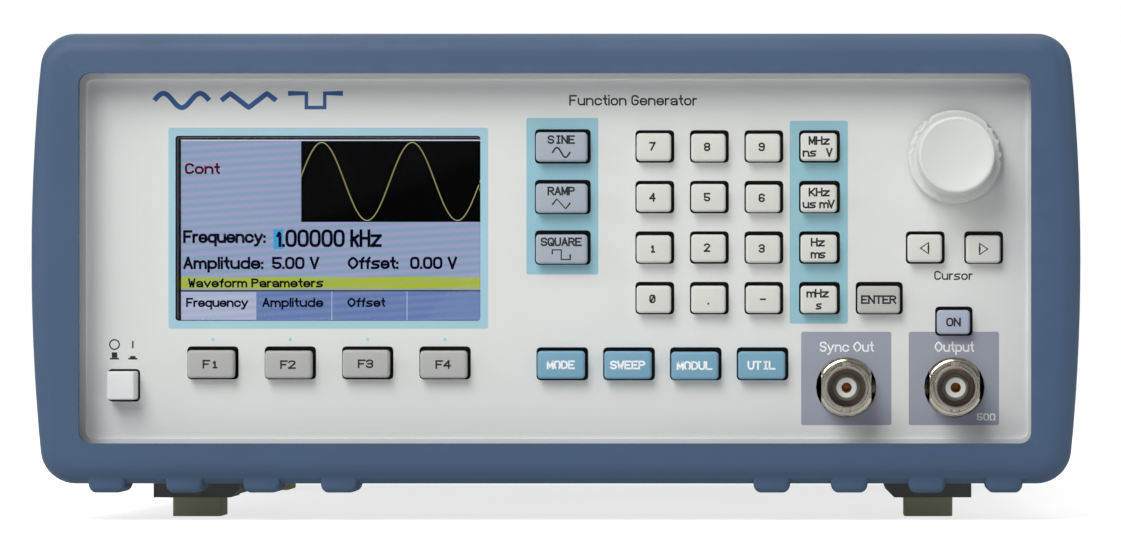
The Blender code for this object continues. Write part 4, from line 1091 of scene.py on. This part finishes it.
class GENERATOR_OT_panel_print(bpy.types.Operator):
    """Print the words and marks on the front panel"""

    bl_idname = "generator.panel_print"
    bl_label = "Panel Print"

    def execute(self, context):
        y = PANEL_FACE
        title = self.words("Function Generator", 2.6, 33.5, 2.3, 27.9, 0.155)
        cursor = self.words("Cursor", 82.3, -4.6, 2.0, 8.4, 0.16)
        printed("panel_words", CABINET, "dark_ink", "panel_plastic", title, cursor, *self.power_symbols(y))
        printed(
            "socket_words",
            CABINET,
            "white_ink",
            "panel_plastic",
            self.words("Sync Out", 57.3, -20.3, 2.25, 11.8, 0.145),
            self.words("Output", 82.4, -20.3, 2.25, 8.6, 0.145),
            self.words("50Ω", 91.6, -35.3, 1.6, 4.1, 0.2),
        )
        kinds = ("sine", "triangle", "square")
        waves = [self.wave(kind, -88.0 + 14.6 * place) for place, kind in enumerate(kinds)]
        mark = (add_strokes, waves, 0.0, y, PANEL_Z, 1.1 * MM)
        printed("panel_mark", CABINET, "blue_ink", "panel_plastic", mark)
        tick = [[(0, -0.35 * MM), (0, 0.35 * MM)]]
        ticks = []
        for node in KEY_FINISHES["grey"]:
            ticks.append((add_strokes, tick, middle(node).x, y, PANEL_Z - 17.6 * MM, 0.6 * MM))
        printed("soft_key_ticks", CABINET, "pale_ink", "panel_plastic", *ticks)
        return {"FINISHED"}

    def words(self, text, x, up, height, width, weight):
        """Words on the panel, placed in millimetres from its centre."""
        return (add_words, text, x * MM, PANEL_FACE, PANEL_Z + up * MM, height * MM, width * MM, weight)

    def wave(self, kind, left):
        """One and a half periods of a plain wave, for the mark in the corner."""
        width, swing, level, turns = 12.0 * MM, 1.55 * MM, 34.6 * MM, 1.5
        shares = [step / 48 for step in range(49)]
        if kind == "sine":
            heights = [math.sin(math.tau * turns * share) for share in shares]
        elif kind == "triangle":
            heights = [math.asin(math.sin(math.tau * turns * share)) * 2 / math.pi for share in shares]
        else:
            shares = [0, 1 / 3, 1 / 3, 2 / 3, 2 / 3, 1]
            heights = [1, 1, -1, -1, 1, 1]
        return [(left * MM + share * width, level + swing * height) for share, height in zip(shares, heights)]

    def power_symbols(self, y):
        """The off and on symbols over little drawings of the button out and in."""
        turns = [math.tau * step / 24 for step in range(25)]
        ring = [[(1.05 * MM * math.cos(turn), 1.05 * MM * math.sin(turn)) for turn in turns]]
        bar = [[(0, -0.8 * MM), (0, 0.8 * MM)]]
        out = [[(-1.0 * MM, 0), (1.0 * MM, 0)]]
        cap = [[(-0.6 * MM, 0), (0.6 * MM, 0)]]
        symbols = (
            (ring, -96.7, -18.7, 0.3),
            (bar, -92.7, -18.7, 0.35),
            (cap, -96.7, -21.0, 1.2),
            (out, -96.7, -21.8, 0.35),
            (cap, -92.7, -21.5, 0.6),
            (out, -92.7, -21.8, 0.35),
        )
        return [(add_strokes, path, x * MM, y, PANEL_Z + up * MM, line * MM) for path, x, up, line in symbols]


# Parts of the lit picture: name, colour, left, right, bottom and top as shares, and strength of the bands.
SCREEN_SHEETS = (
    ("screen_ground", (160, 161, 201), 0, 1, 0, 1, 1.0),
    # a painted highlight: a thin bright strip along the top edge of the picture
    ("screen_top_edge", (226, 232, 246), 0, 1, 0.9955, 1),
    ("screen_trace_box", (3, 3, 4), 0.401, 1, 0.545, 0.993),
    ("screen_banner", (172, 186, 40), 0, 1, 0.174, 0.24, 0.25),
    ("screen_rule", (40, 40, 60), 0, 1, 0.161, 0.168),
    ("screen_menu", (104, 124, 178), 0, 1, 0.0, 0.161, 0.3),
    ("screen_menu_first", (180, 186, 212), 0, 0.251, 0.003, 0.158, 0.3),
    ("screen_menu_line_2", (176, 184, 216), 0.502, 0.5048, 0.0, 0.161),
    ("screen_menu_line_3", (176, 184, 216), 0.753, 0.7558, 0.0, 0.161),
    ("screen_cursor", (66, 158, 214), 0.308, 0.341, 0.395, 0.506),
)
# Words on it: left, right, foot and height as shares, and the stroke's weight where it isn't the usual one.
SCREEN_WORDS = (
    ("Frequency:", 0.007, 0.283, 0.428, 0.072),
    ("1.00000", 0.311, 0.547, 0.406, 0.098, 0.17),
    ("kHz", 0.565, 0.670, 0.406, 0.098, 0.17),
    ("Amplitude:", 0.007, 0.275, 0.284, 0.0686),
    ("5.00 V", 0.304, 0.4615, 0.284, 0.0686),
    ("Offset:", 0.556, 0.726, 0.284, 0.0686),
    ("0.00 V", 0.7645, 0.922, 0.284, 0.0686),
    ("Waveform Parameters", 0.0234, 0.475, 0.183, 0.05),
    ("Frequency", 0.0167, 0.224, 0.074, 0.0515),
    ("Amplitude", 0.271, 0.475, 0.074, 0.0515),
    ("Offset", 0.555, 0.682, 0.074, 0.0515),
)


class GENERATOR_OT_display(bpy.types.Operator):
    """Make the display module, the lit picture and the window over it"""

    bl_idname = "generator.display"
    bl_label = "Display"

    def execute(self, context):
        soften("display_module", CABINET, "screen_surround", "display_glass", 0.3 * MM)
        low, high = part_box("display_window")
        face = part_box("display_module")[0].y
        left, right = low.x + 0.6 * MM, high.x + 0.1 * MM
        bottom, top = low.z - 0.2 * MM, high.z - 0.5 * MM
        width, height = right - left, top - bottom
        self.layers = 0

        def sheet(name, colour, x0, x1, z0, z1, banding=0.0):
            """A lit rectangle; its sides are shares of the picture's width and height."""
            self.layers += 1
            front = face - (0.03 + 0.02 * self.layers) * MM
            bm = bmesh.new()
            add_block(
                bm,
                (left + x0 * width, front, bottom + z0 * height),
                (left + x1 * width, face - 0.01 * MM, bottom + z1 * height),
            )
            FINISHES[name] = (lit, colour, banding)
            piece(raw_object(bm, name), CABINET, name, "display_glass")
            return front

        for values in SCREEN_SHEETS:
            front = sheet(*values)

        def words(text, x0, x1, base, tall, weight=0.2):
            """Lettering on the screen, placed by shares of the picture."""
            spot = (left + x0 * width, front, bottom + base * height)
            return (add_words, text, *spot, tall * height, (x1 - x0) * width, weight)

        drawings = [words(*values) for values in SCREEN_WORDS]
        printed("screen_words", CABINET, "screen_ink", "display_glass", *drawings)
        mode = words("Cont", 0.013, 0.13, 0.81, 0.061)
        printed("screen_mode_word", CABINET, "screen_red", "display_glass", mode)
        self.trace(left + 0.401 * width, right, bottom + 0.769 * height, 0.216 * height, front)

        bm = bmesh.new()
        add_block(bm, low, high, 0.5 * MM, 1, 3)
        for level in (low.y, high.y):
            round_edges(bm, edges_at(bm, 1, level), 0.15 * MM, 2)
        glass = Finish("clear_acrylic", 0.02)
        glass.shader.inputs["Transmission Weight"].default_value = 1.0
        glass.shader.inputs["IOR"].default_value = 1.12
        glass.shader.inputs["Specular IOR Level"].default_value = 0.2
        texture = glass.effect("grain", grain=60.0, mottle_size=20.0)
        glass.paint(glass.blend(texture["Mottle"], (0.97, 0.98, 0.99), (1.0, 1.0, 1.0)))
        glass.feed(glass.remap(texture["Mottle"], 0, 1, 0.015, 0.03), glass.shader.inputs["Roughness"])
        made_finishes["clear_acrylic"] = glass.material
        piece(raw_object(bm, "window_pane"), CABINET, "clear_acrylic", "clear_acrylic", "display_window")
        return {"FINISHED"}

    def trace(self, left, right, level, swing, front):
        """Two periods of a sine wave drawn across the dark box."""
        steps = 120
        path = []
        for step in range(steps + 1):
            share = step / steps
            path.append(((share - 0.5) * (right - left), swing * math.sin(math.tau * (share * 1.985 + 0.02))))
        line = (add_strokes, [path], (left + right) / 2, front, level, 0.13 * MM)
        printed("screen_wave", CABINET, "screen_trace", "display_glass", line)


KNOB_GROUPS, KNOB_RIDGE_PITCH = (148.0, 19.0, 268.0), 17.0  # bearings in degrees


class GENERATOR_OT_knob(bpy.types.Operator):
    """Make the tuning knob with its notched skirt, its shaft and the encoder"""

    bl_idname = "generator.knob"
    bl_label = "Tuning Knob"

    def execute(self, context):
        low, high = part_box("tuning_knob")
        centre = middle("tuning_knob")
        reach = (PANEL_FACE - low.y) / MM
        skirt = (high.x - low.x) / 2 / MM
        face, bore, base = 8.15, 3.3, 0.6
        profile = [(CORE, reach - 2.5), (bore, reach - 2.5), (bore, base), (skirt - 0.7, base)]
        profile += arc((skirt - 0.4, base + 0.4), (0.4, 0.4), -90, 0, 4)
        profile += [(skirt, 1.8)]
        profile += arc((skirt - 0.35, 2.6), (0.35, 0.5), 0, 90, 5)
        profile += [(skirt - 0.9, 3.12), (skirt - 1.1, 3.0), (face + 0.5, 3.0)]
        profile += [(face + 0.38, 3.2), (face + 0.2, 7.5), (face + 0.12, reach - 0.7)]
        profile += arc((face - 0.4, reach - 0.6), (0.5, 0.6), 15, 90, 5)
        profile += [(face - 0.75, reach - 0.05), (face - 1.1, reach - 0.25), (CORE, reach - 0.25)]
        bm = bmesh.new()
        spin_profile(bm, profile, (centre.x, PANEL_FACE, centre.z), -1, 240)
        self.cut_notches(bm, centre, skirt * MM)
        cap = raw_object(bm, "tuning_knob_cap")
        piece(cap, "tuning_knob", "knob_plastic", "knob_plastic", "tuning_knob", smooth=50)
        for node, body in (("encoder_shaft", "tuning_knob"), ("encoder_body", CABINET)):
            soften(node, body, "shaft_metal", "shaft_metal", 0.25 * MM)
        return {"FINISHED"}

    def cut_notches(self, bm, centre, skirt):
        """Sinks three stretches of the skirt's front edge, and leaves three small ridges standing in each."""
        base, rise = 1.5 * MM, 0.7 * MM
        for vert in bm.verts:
            across, up = vert.co.x - centre.x, vert.co.z - centre.z
            radius = math.hypot(across, up)
            reach = PANEL_FACE - vert.co.y
            if radius < skirt - 1.2 * MM or reach < base:
                continue
            depth = self.notch_depth(math.degrees(math.atan2(up, across)))
            share = min(1.0, (reach - base) / rise) * min(1.0, (radius - skirt + 1.2 * MM) / (0.5 * MM))
            scale = (radius - depth * sizes().knob_notch * share) / radius
            vert.co.x, vert.co.z = centre.x + across * scale, centre.z + up * scale

    def notch_depth(self, bearing):
        """How deep the skirt is sunk at a bearing, from 0 to 1."""
        depth = 0.0
        for group in KNOB_GROUPS:
            away = abs((bearing - group + 180) % 360 - 180)
            sunk = min(1.0, max(0.0, (27.0 - away) / 3.0))
            ridge = min(abs(away - KNOB_RIDGE_PITCH * count) for count in (0, 1))
            sunk *= min(1.0, max(0.0, (ridge - 1.2) / 2.6)) if away < 24 else 1.0
            depth = max(depth, sunk)
        return depth


class GENERATOR_OT_power_button(bpy.types.Operator):
    """Make the power button, its rod and its switch"""

    bl_idname = "generator.power_button"
    bl_label = "Power Button"

    def execute(self, context):
        low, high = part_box("power_button")
        bm = bmesh.new()
        build_cap(bm, low, high, 0.5 * MM, 0.45 * MM)
        cap = raw_object(bm, "power_button_cap")
        piece(cap, "power_button", "power_key", "power_key", "power_button", smooth=40)
        soften("power_push_rod", "power_button", "black_plastic", "black_plastic", 0.2 * MM)
        soften("power_switch", CABINET, "black_plastic", "black_plastic", 0.3 * MM)
        return {"FINISHED"}


# The metal shell of a socket, in millimetres.
BNC_REACH, BNC_THREAD = 12.5, 3.4
BNC_BORE, BNC_BARREL, BNC_BODY, BNC_FLAT = 4.1, 4.75, 6.1, 5.45
BNC_FLOOR = BNC_REACH - 8.5


def bnc_profile():
    """Half section of the metal shell, from the bottom of the bore to the rim and back behind the panel."""
    pitch = sizes().thread_pitch / MM
    step = BNC_REACH - 7.6
    profile = [(CORE, BNC_FLOOR), (3.1, BNC_FLOOR), (3.1, step), (BNC_BORE, step)]
    profile += [(BNC_BORE, BNC_REACH - 0.35), (BNC_BORE + 0.2, BNC_REACH)]
    profile += [(BNC_BARREL - 0.2, BNC_REACH), (BNC_BARREL, BNC_REACH - 0.25)]
    profile += [(BNC_BARREL, BNC_THREAD + 1.6), (BNC_BARREL - 0.35, BNC_THREAD + 1.3)]
    profile += [(BNC_BARREL - 0.35, BNC_THREAD), (BNC_BODY - 0.9, BNC_THREAD)]
    profile += [(BNC_BODY - 0.85, BNC_THREAD - 0.3), (BNC_BODY - 0.7, BNC_THREAD - 0.3)]
    profile += [(BNC_BODY - 0.6, BNC_THREAD - 0.05), (BNC_BODY - 0.4, BNC_THREAD - 0.05)]
    root, level = BNC_BODY - 0.28, BNC_THREAD - 0.25
    while level > -2.4:
        profile += [(BNC_BODY, level), (BNC_BODY, level - 0.2 * pitch), (root, level - 0.55 * pitch)]
        level -= pitch
    behind = -(PANEL_HIGH.y - PANEL_FACE) / MM - 0.3
    profile += [(root, behind), (7.8, behind), (7.8, behind - 2.2), (5.0, behind - 2.2)]
    profile += [(5.0, -17.7), (4.7, -18), (CORE, -18)]
    return profile


def build_socket(node, face, facing):
    """One BNC socket: the plated shell with lugs and flats, the white insulator and the split contact."""
    centre = middle(node)
    spot = (centre.x, face, centre.z)
    bm = bmesh.new()
    spin_profile(bm, bnc_profile(), spot, facing)
    flat = BNC_FLAT * MM
    for vert in bm.verts:
        reach = (vert.co.y - face) * facing / MM
        if -3.0 < reach < BNC_THREAD + 0.01 and abs(vert.co.x - centre.x) > flat:
            vert.co.x = centre.x + math.copysign(flat, vert.co.x - centre.x)
    shell = raw_object(bm, f"{node}_shell")
    bm = bmesh.new()
    y = face + facing * (BNC_REACH - 4.2) * MM
    radius = 0.95 * MM
    for side in (-1, 1):
        start, neck, inner, tip = (
            (centre.x, y, centre.z + side * up * MM)
            for up in (BNC_BARREL - 0.3, BNC_BARREL + 0.62, BNC_BARREL + 0.61, 5.5)
        )
        add_rod(bm, start, neck, radius, 24)
        add_rod(bm, inner, tip, radius, 24, 0.8 * MM)
    carve(shell, bm, "UNION")
    piece(shell, CABINET, "nickel_plate", "nickel_plate", node, smooth=30)
    # painted shade: the inside of the bore takes a darker brown metal
    shell.data.materials.append(finish_named("bore_metal"))
    for polygon in shell.data.polygons:
        reach = (polygon.center.y - face) * facing / MM
        radius = math.hypot(polygon.center.x - centre.x, polygon.center.z - centre.z) / MM
        if radius < BNC_BORE + 0.02 and reach < BNC_REACH - 0.8:
            polygon.material_index = 1

    bm = bmesh.new()
    base, top = BNC_FLOOR + 0.05, BNC_REACH - 3.2
    outer, bore, floor = 2.3, 1.12, BNC_FLOOR + 0.85
    profile = [(CORE, base), (outer + 0.6, base), (outer + 0.6, base + 1.5), (outer, base + 1.6)]
    profile += [(outer, top - 0.2), (outer - 0.2, top), (bore, top), (bore, floor), (CORE, floor)]
    spin_profile(bm, profile, spot, facing, 64)
    piece(raw_object(bm, f"{node}_insulator"), CABINET, "dielectric", "nickel_plate", smooth=40)

    bm = bmesh.new()
    pin, tip, hole, end = 1.05, top - 0.3, 0.74, floor + 0.1
    profile = [(CORE, end), (pin, end), (pin, tip - 0.15), (pin - 0.1, tip)]
    profile += [(hole + 0.08, tip), (hole, tip - 0.12), (hole, tip - 3.2), (CORE, tip - 3.2)]
    spin_profile(bm, profile, spot, facing, 48)
    contact = raw_object(bm, f"{node}_contact")
    bm = bmesh.new()
    ends = (face + facing * (tip - 2.4) * MM, face + facing * (tip + 1) * MM)
    add_bar(bm, centre.x, centre.z, 4.0 * MM, 0.22 * MM, ends)
    carve(contact, bm)
    piece(contact, CABINET, "contact_gold", "nickel_plate", smooth=40)


def build_nut(name, centre, face, facing, radius, bore, thickness):
    """A hexagonal nut with chamfered corners, over a thin washer."""
    bm = bmesh.new()
    washer = 0.5 * MM
    inner, outer = face + facing * washer, face + facing * (washer + thickness)
    add_rod(bm, (centre.x, inner, centre.z), (centre.x, outer, centre.z), radius, 6)
    nut = raw_object(bm, name)
    bm = bmesh.new()
    span, top = radius * 0.97 / MM, (thickness + washer) / MM + 0.1
    profile = [(CORE, -1), (span + 4, -1), (span + 4, 0.2), (span, top), (CORE, top)]
    spin_profile(bm, profile, (centre.x, face, centre.z), facing, 64)
    carve(nut, bm, "INTERSECT")
    bm = bmesh.new()
    add_rod(bm, (centre.x, face, centre.z), (centre.x, inner, centre.z), radius + 0.5 * MM, 64)
    carve(nut, bm, "UNION")
    bm = bmesh.new()
    add_rod(bm, (centre.x, face - facing * MM, centre.z), (centre.x, outer + facing * MM, centre.z), bore, 64)
    carve(nut, bm)
    piece(nut, CABINET, "nickel_plate", "nickel_plate", smooth=30)


class GENERATOR_OT_sockets(bpy.types.Operator):
    """Make the four BNC sockets"""

    bl_idname = "generator.sockets"
    bl_label = "BNC Sockets"

    def execute(self, context):
        for node in ("bnc_sync", "bnc_output"):
            build_socket(node, PANEL_FACE, -1)
        for node in ("bnc_trigger_in", "bnc_modulation_in"):
            build_socket(node, REAR_FACE, 1)
            build_nut(f"{node}_nut", middle(node), REAR_FACE, 1, 8.2 * MM, 6.45 * MM, 2.0 * MM)
        return {"FINISHED"}


class GENERATOR_OT_rear_connectors(bpy.types.Operator):
    """Make the mains inlet with its pins, the USB socket and the words beside them"""

    bl_idname = "generator.rear_connectors"
    bl_label = "Rear Connectors"

    def execute(self, context):
        soften("ac_inlet", CABINET, "black_plastic", "black_plastic", 0.4 * MM, 3)
        inlet_low, inlet_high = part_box("ac_inlet")
        centre = (inlet_low + inlet_high) / 2
        blade_tip = inlet_high.y - 3.5 * MM
        bm = bmesh.new()
        for across, up in ((-7, 2), (0, -2), (7, 2)):
            x, z = centre.x + across * MM, centre.z + up * MM
            blade = bmesh.new()
            add_bar(blade, x, z, 2 * MM, 4 * MM, (inlet_high.y - 17 * MM, blade_tip), 0.3 * MM)
            round_edges(blade, edges_at(blade, 1, blade_tip), 0.5 * MM, 3)
            absorb(bm, blade)
        piece(raw_object(bm, "inlet_pins"), CABINET, "nickel_plate", "nickel_plate")

        soften("usb_port", CABINET, "shaft_metal", "shaft_metal", 0.25 * MM)
        low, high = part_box("usb_port")
        spot = (low + high) / 2
        bm = bmesh.new()
        ends = (high.y - 9.5 * MM, high.y - 1 * MM)
        add_bar(bm, spot.x, spot.z, 5.6 * MM, 2.8 * MM, ends, 0.3 * MM)
        piece(raw_object(bm, "usb_tongue"), CABINET, "dielectric", "shaft_metal")

        trigger, modulation = middle("bnc_trigger_in"), middle("bnc_modulation_in")
        words = [
            (add_words, text, x, REAR_FACE, z, 2.0 * MM, None, 0.14, 1, "CENTER")
            for text, x, z in (
                ("TRIG IN", trigger.x, trigger.z + 10.5 * MM),
                ("MOD IN", modulation.x, modulation.z + 10.5 * MM),
                ("USB", spot.x, spot.z + 8.0 * MM),
                ("AC LINE", centre.x, inlet_high.z + 2.0 * MM),
            )
        ]
        printed("rear_words", CABINET, "dark_ink", "rear_paint", *words)
        return {"FINISHED"}


class GENERATOR_OT_feet(bpy.types.Operator):
    """Make the feet and their tilt legs"""

    bl_idname = "generator.feet"
    bl_label = "Feet"

    def execute(self, context):
        for side in ("left", "right"):
            soften(f"front_foot_{side}", CABINET, "foot_plastic", "foot_plastic", 0.4 * MM, 3)
            soften(f"rear_foot_{side}", CABINET, "foot_plastic", "foot_plastic", 0.4 * MM, 3)
            soften(f"tilt_leg_{side}", f"tilt_leg_{side}", "leg_plastic", "leg_plastic", 0.25 * MM, 2)
        return {"FINISHED"}


class GENERATOR_OT_boards(bpy.types.Operator):
    """Finish the boards and the power supply inside the case"""

    bl_idname = "generator.boards"
    bl_label = "Boards"

    def execute(self, context):
        soften("key_board", CABINET, "circuit_board", "circuit_board", 0.15 * MM)
        soften("main_board", CABINET, "circuit_board", "circuit_board", 0.2 * MM)
        soften("power_supply", CABINET, "supply_parts", "supply_parts", 0.3 * MM)
        return {"FINISHED"}


def add_screw(bm, place, outward, radius):
    """A pan-head screw with a cross recess. Place is on the surface, outward the way its head looks."""
    screw = bmesh.new()
    head = 0.55 * radius
    bmesh.ops.create_uvsphere(screw, u_segments=32, v_segments=16, radius=radius)
    for vert in screw.verts:
        vert.co.z = head * max(0.0, vert.co.z / radius) ** 0.75 if vert.co.z > 0 else -0.3 * MM
    bmesh.ops.remove_doubles(screw, verts=screw.verts[:], dist=1e-6)
    for vert in screw.verts:
        across, along = abs(vert.co.x), abs(vert.co.y)
        if min(across, along) < 0.17 * radius and max(across, along) < 0.62 * radius and vert.co.z > 0:
            vert.co.z -= 0.45 * head
    mesh = bpy.data.meshes.new("screw")
    bmesh.ops.recalc_face_normals(screw, faces=screw.faces[:])
    screw.to_mesh(mesh)
    screw.free()
    turn = Vector(outward).to_track_quat("Z", "Y").to_matrix().to_4x4()
    mesh.transform(Matrix.Translation(place) @ turn)
    bm.from_mesh(mesh)
    bpy.data.meshes.remove(mesh)


class GENERATOR_OT_fasteners(bpy.types.Operator):
    """Make the screws of the cover, the rear panel and the inlet"""

    bl_idname = "generator.fasteners"
    bl_label = "Fasteners"

    def execute(self, context):
        cover_low, cover_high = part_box("top_cover")
        bm = bmesh.new()
        for side in (-1, 1):
            for y in (-0.06, 0.075):
                add_screw(bm, (side * cover_high.x, y, cover_low.z + 7 * MM), (side, 0, 0), 2.8 * MM)
        piece(raw_object(bm, "cover_screws"), CABINET, "screw_steel", "shaft_metal", smooth=40)
        rear_low, rear_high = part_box("rear_panel")
        bm = bmesh.new()
        for x in (rear_low.x + 8 * MM, rear_high.x - 8 * MM):
            for z in (rear_low.z + 7 * MM, rear_high.z - 7 * MM):
                add_screw(bm, (x, REAR_FACE, z), (0, 1, 0), 2.6 * MM)
        piece(raw_object(bm, "rear_screws"), CABINET, "screw_steel", "shaft_metal", smooth=40)
        inlet_low, inlet_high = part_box("ac_inlet")
        bm = bmesh.new()
        for side in (-1, 1):
            x = (inlet_low.x + inlet_high.x) / 2 + side * 20 * MM
            add_screw(bm, (x, inlet_high.y, (inlet_low.z + inlet_high.z) / 2), (0, 1, 0), 2.6 * MM)
        piece(raw_object(bm, "inlet_screws"), CABINET, "screw_steel", "shaft_metal", smooth=40)
        return {"FINISHED"}


class GENERATOR_OT_stage(bpy.types.Operator):
    """Set the floor, the soft studio lights and the camera"""

    bl_idname = "generator.stage"
    bl_label = "Stage"

    def execute(self, context):
        bm = bmesh.new()
        bmesh.ops.create_circle(bm, cap_ends=True, radius=14.0, segments=64)
        floor = raw_object(bm, "studio_floor")
        finish = Finish("floor_paper", 0.9)
        texture = finish.effect("grain", grain=80.0, mottle_size=3.0)
        paper = finish.blend(texture["Mottle"], (0.86, 0.86, 0.86), (0.88, 0.88, 0.88))
        finish.paint(finish.blend(0.42, paper, (0.0, 0.0, 0.0)))
        finish.feed(paper, finish.shader.inputs["Emission Color"])
        seen = finish.node("LightPath").outputs["Is Camera Ray"]
        finish.feed(finish.remap(seen, 0, 1, 0.2, 0.86), finish.shader.inputs["Emission Strength"])
        floor.data.materials.append(finish.material)
        self.make_lights(context)
        self.make_camera(context)
        return {"FINISHED"}

    def make_lights(self, context):
        """A white surround for the eye, a dimmer one for reflections, and soft lamps above and left."""
        world = bpy.data.worlds.new("studio")
        context.scene.world = world
        world.use_nodes = True
        wiring = Wiring(world.node_tree)
        background = world.node_tree.nodes["Background"]
        background.inputs["Color"].default_value = (1, 1, 1, 1)
        way = wiring.node("SeparateXYZ")
        wiring.feed(wiring.node("TexCoord").outputs["Generated"], way.inputs[0])
        from_above = wiring.remap(way.outputs["Z"], -0.2, 0.8, 0.14, 0.56)
        from_behind = wiring.remap(way.outputs["Y"], -1.0, 0.3, 0.35, 1.0)
        lighting = wiring.sum("MULTIPLY", from_above, from_behind)
        seen = wiring.node("LightPath").outputs["Is Camera Ray"]
        strength = wiring.node("Mix", data_type="FLOAT")
        for value, place in ((seen, 0), (lighting, 2), (1.0, 3)):
            wiring.feed(value, strength.inputs[place])
        wiring.feed(strength.outputs[0], background.inputs["Strength"])
        centre = (LOW + HIGH) / 2
        lamps = (
            ("front_light", (-0.5, -1.3, 1.0), 1.0, 13.0),
            ("left_light", (-1.5, -0.6, 0.6), 0.8, 4.3),
            ("right_light", (1.4, -0.5, 0.7), 0.8, 3.2),
            ("top_light", (0.0, 0.3, 1.7), 1.4, 5.0),
            ("rear_light", (-0.6, 1.5, 0.8), 1.0, 5.0),
        )
        for name, place, size, power in lamps:
            lamp = bpy.data.lights.new(name, "AREA")
            lamp.shape = "DISK"
            lamp.size = size
            lamp.energy = power
            self.aim(context, name, lamp, place, centre)
        sun = bpy.data.lights.new("high_light", "SUN")
        sun.energy = 0.46
        sun.angle = math.radians(25)
        self.aim(context, "high_light", sun, (-0.55, -1.0, 1.5), centre)
        context.scene.view_settings.view_transform = "Standard"

    def aim(self, context, name, lamp, place, target):
        obj = bpy.data.objects.new(name, lamp)
        obj.location = place
        obj.rotation_mode = "QUATERNION"
        obj.rotation_quaternion = (Vector(place) - target).to_track_quat("Z", "Y")
        context.scene.collection.objects.link(obj)

    def make_camera(self, context):
        camera = bpy.data.cameras.new("front_camera")
        camera.lens = 135
        camera.sensor_width = 36
        camera.shift_x, camera.shift_y = -0.23, 0.05
        camera.clip_start = 0.01
        obj = bpy.data.objects.new("front_camera", camera)
        obj.location = (57 * MM, PANEL_FACE - 0.918, PANEL_Z - 16.3 * MM)
        obj.rotation_euler = (math.radians(90), 0, 0)
        context.scene.collection.objects.link(obj)
        context.scene.camera = obj


class GENERATOR_PT_pieces(bpy.types.Panel):
    bl_label = "Function Generator"
    bl_idname = "GENERATOR_PT_pieces"
    bl_space_type = "VIEW_3D"
    bl_region_type = "UI"
    bl_category = "Generator"

    def draw(self, context):
        for operator in OPERATORS:
            self.layout.operator(operator.bl_idname)
        for settings in (context.scene.generator_sizes, context.scene.generator_colours):
            box = self.layout.box()
            for name in settings.__annotations__:
                box.prop(settings, name)


OPERATORS = (
    GENERATOR_OT_stage,
    GENERATOR_OT_bumpers,
    GENERATOR_OT_case,
    GENERATOR_OT_front_panel,
    GENERATOR_OT_panel_print,
    GENERATOR_OT_keys,
    GENERATOR_OT_legends,
    GENERATOR_OT_display,
    GENERATOR_OT_knob,
    GENERATOR_OT_power_button,
    GENERATOR_OT_sockets,
    GENERATOR_OT_rear_connectors,
    GENERATOR_OT_feet,
    GENERATOR_OT_boards,
    GENERATOR_OT_fasteners,
)
CLASSES = (GeneratorSizes, GeneratorColours, *OPERATORS, GENERATOR_PT_pieces)


def register():
    for made in CLASSES:
        bpy.utils.register_class(made)
    bpy.types.Scene.generator_sizes = PointerProperty(type=GeneratorSizes)
    bpy.types.Scene.generator_colours = PointerProperty(type=GeneratorColours)


def unregister():
    del bpy.types.Scene.generator_sizes
    del bpy.types.Scene.generator_colours
    for made in reversed(CLASSES):
        bpy.utils.unregister_class(made)


def main():
    register()
    for operator in OPERATORS:
        group, name = operator.bl_idname.split(".")
        getattr(getattr(bpy.ops, group), name)()


if __name__ == "__main__":
    main()
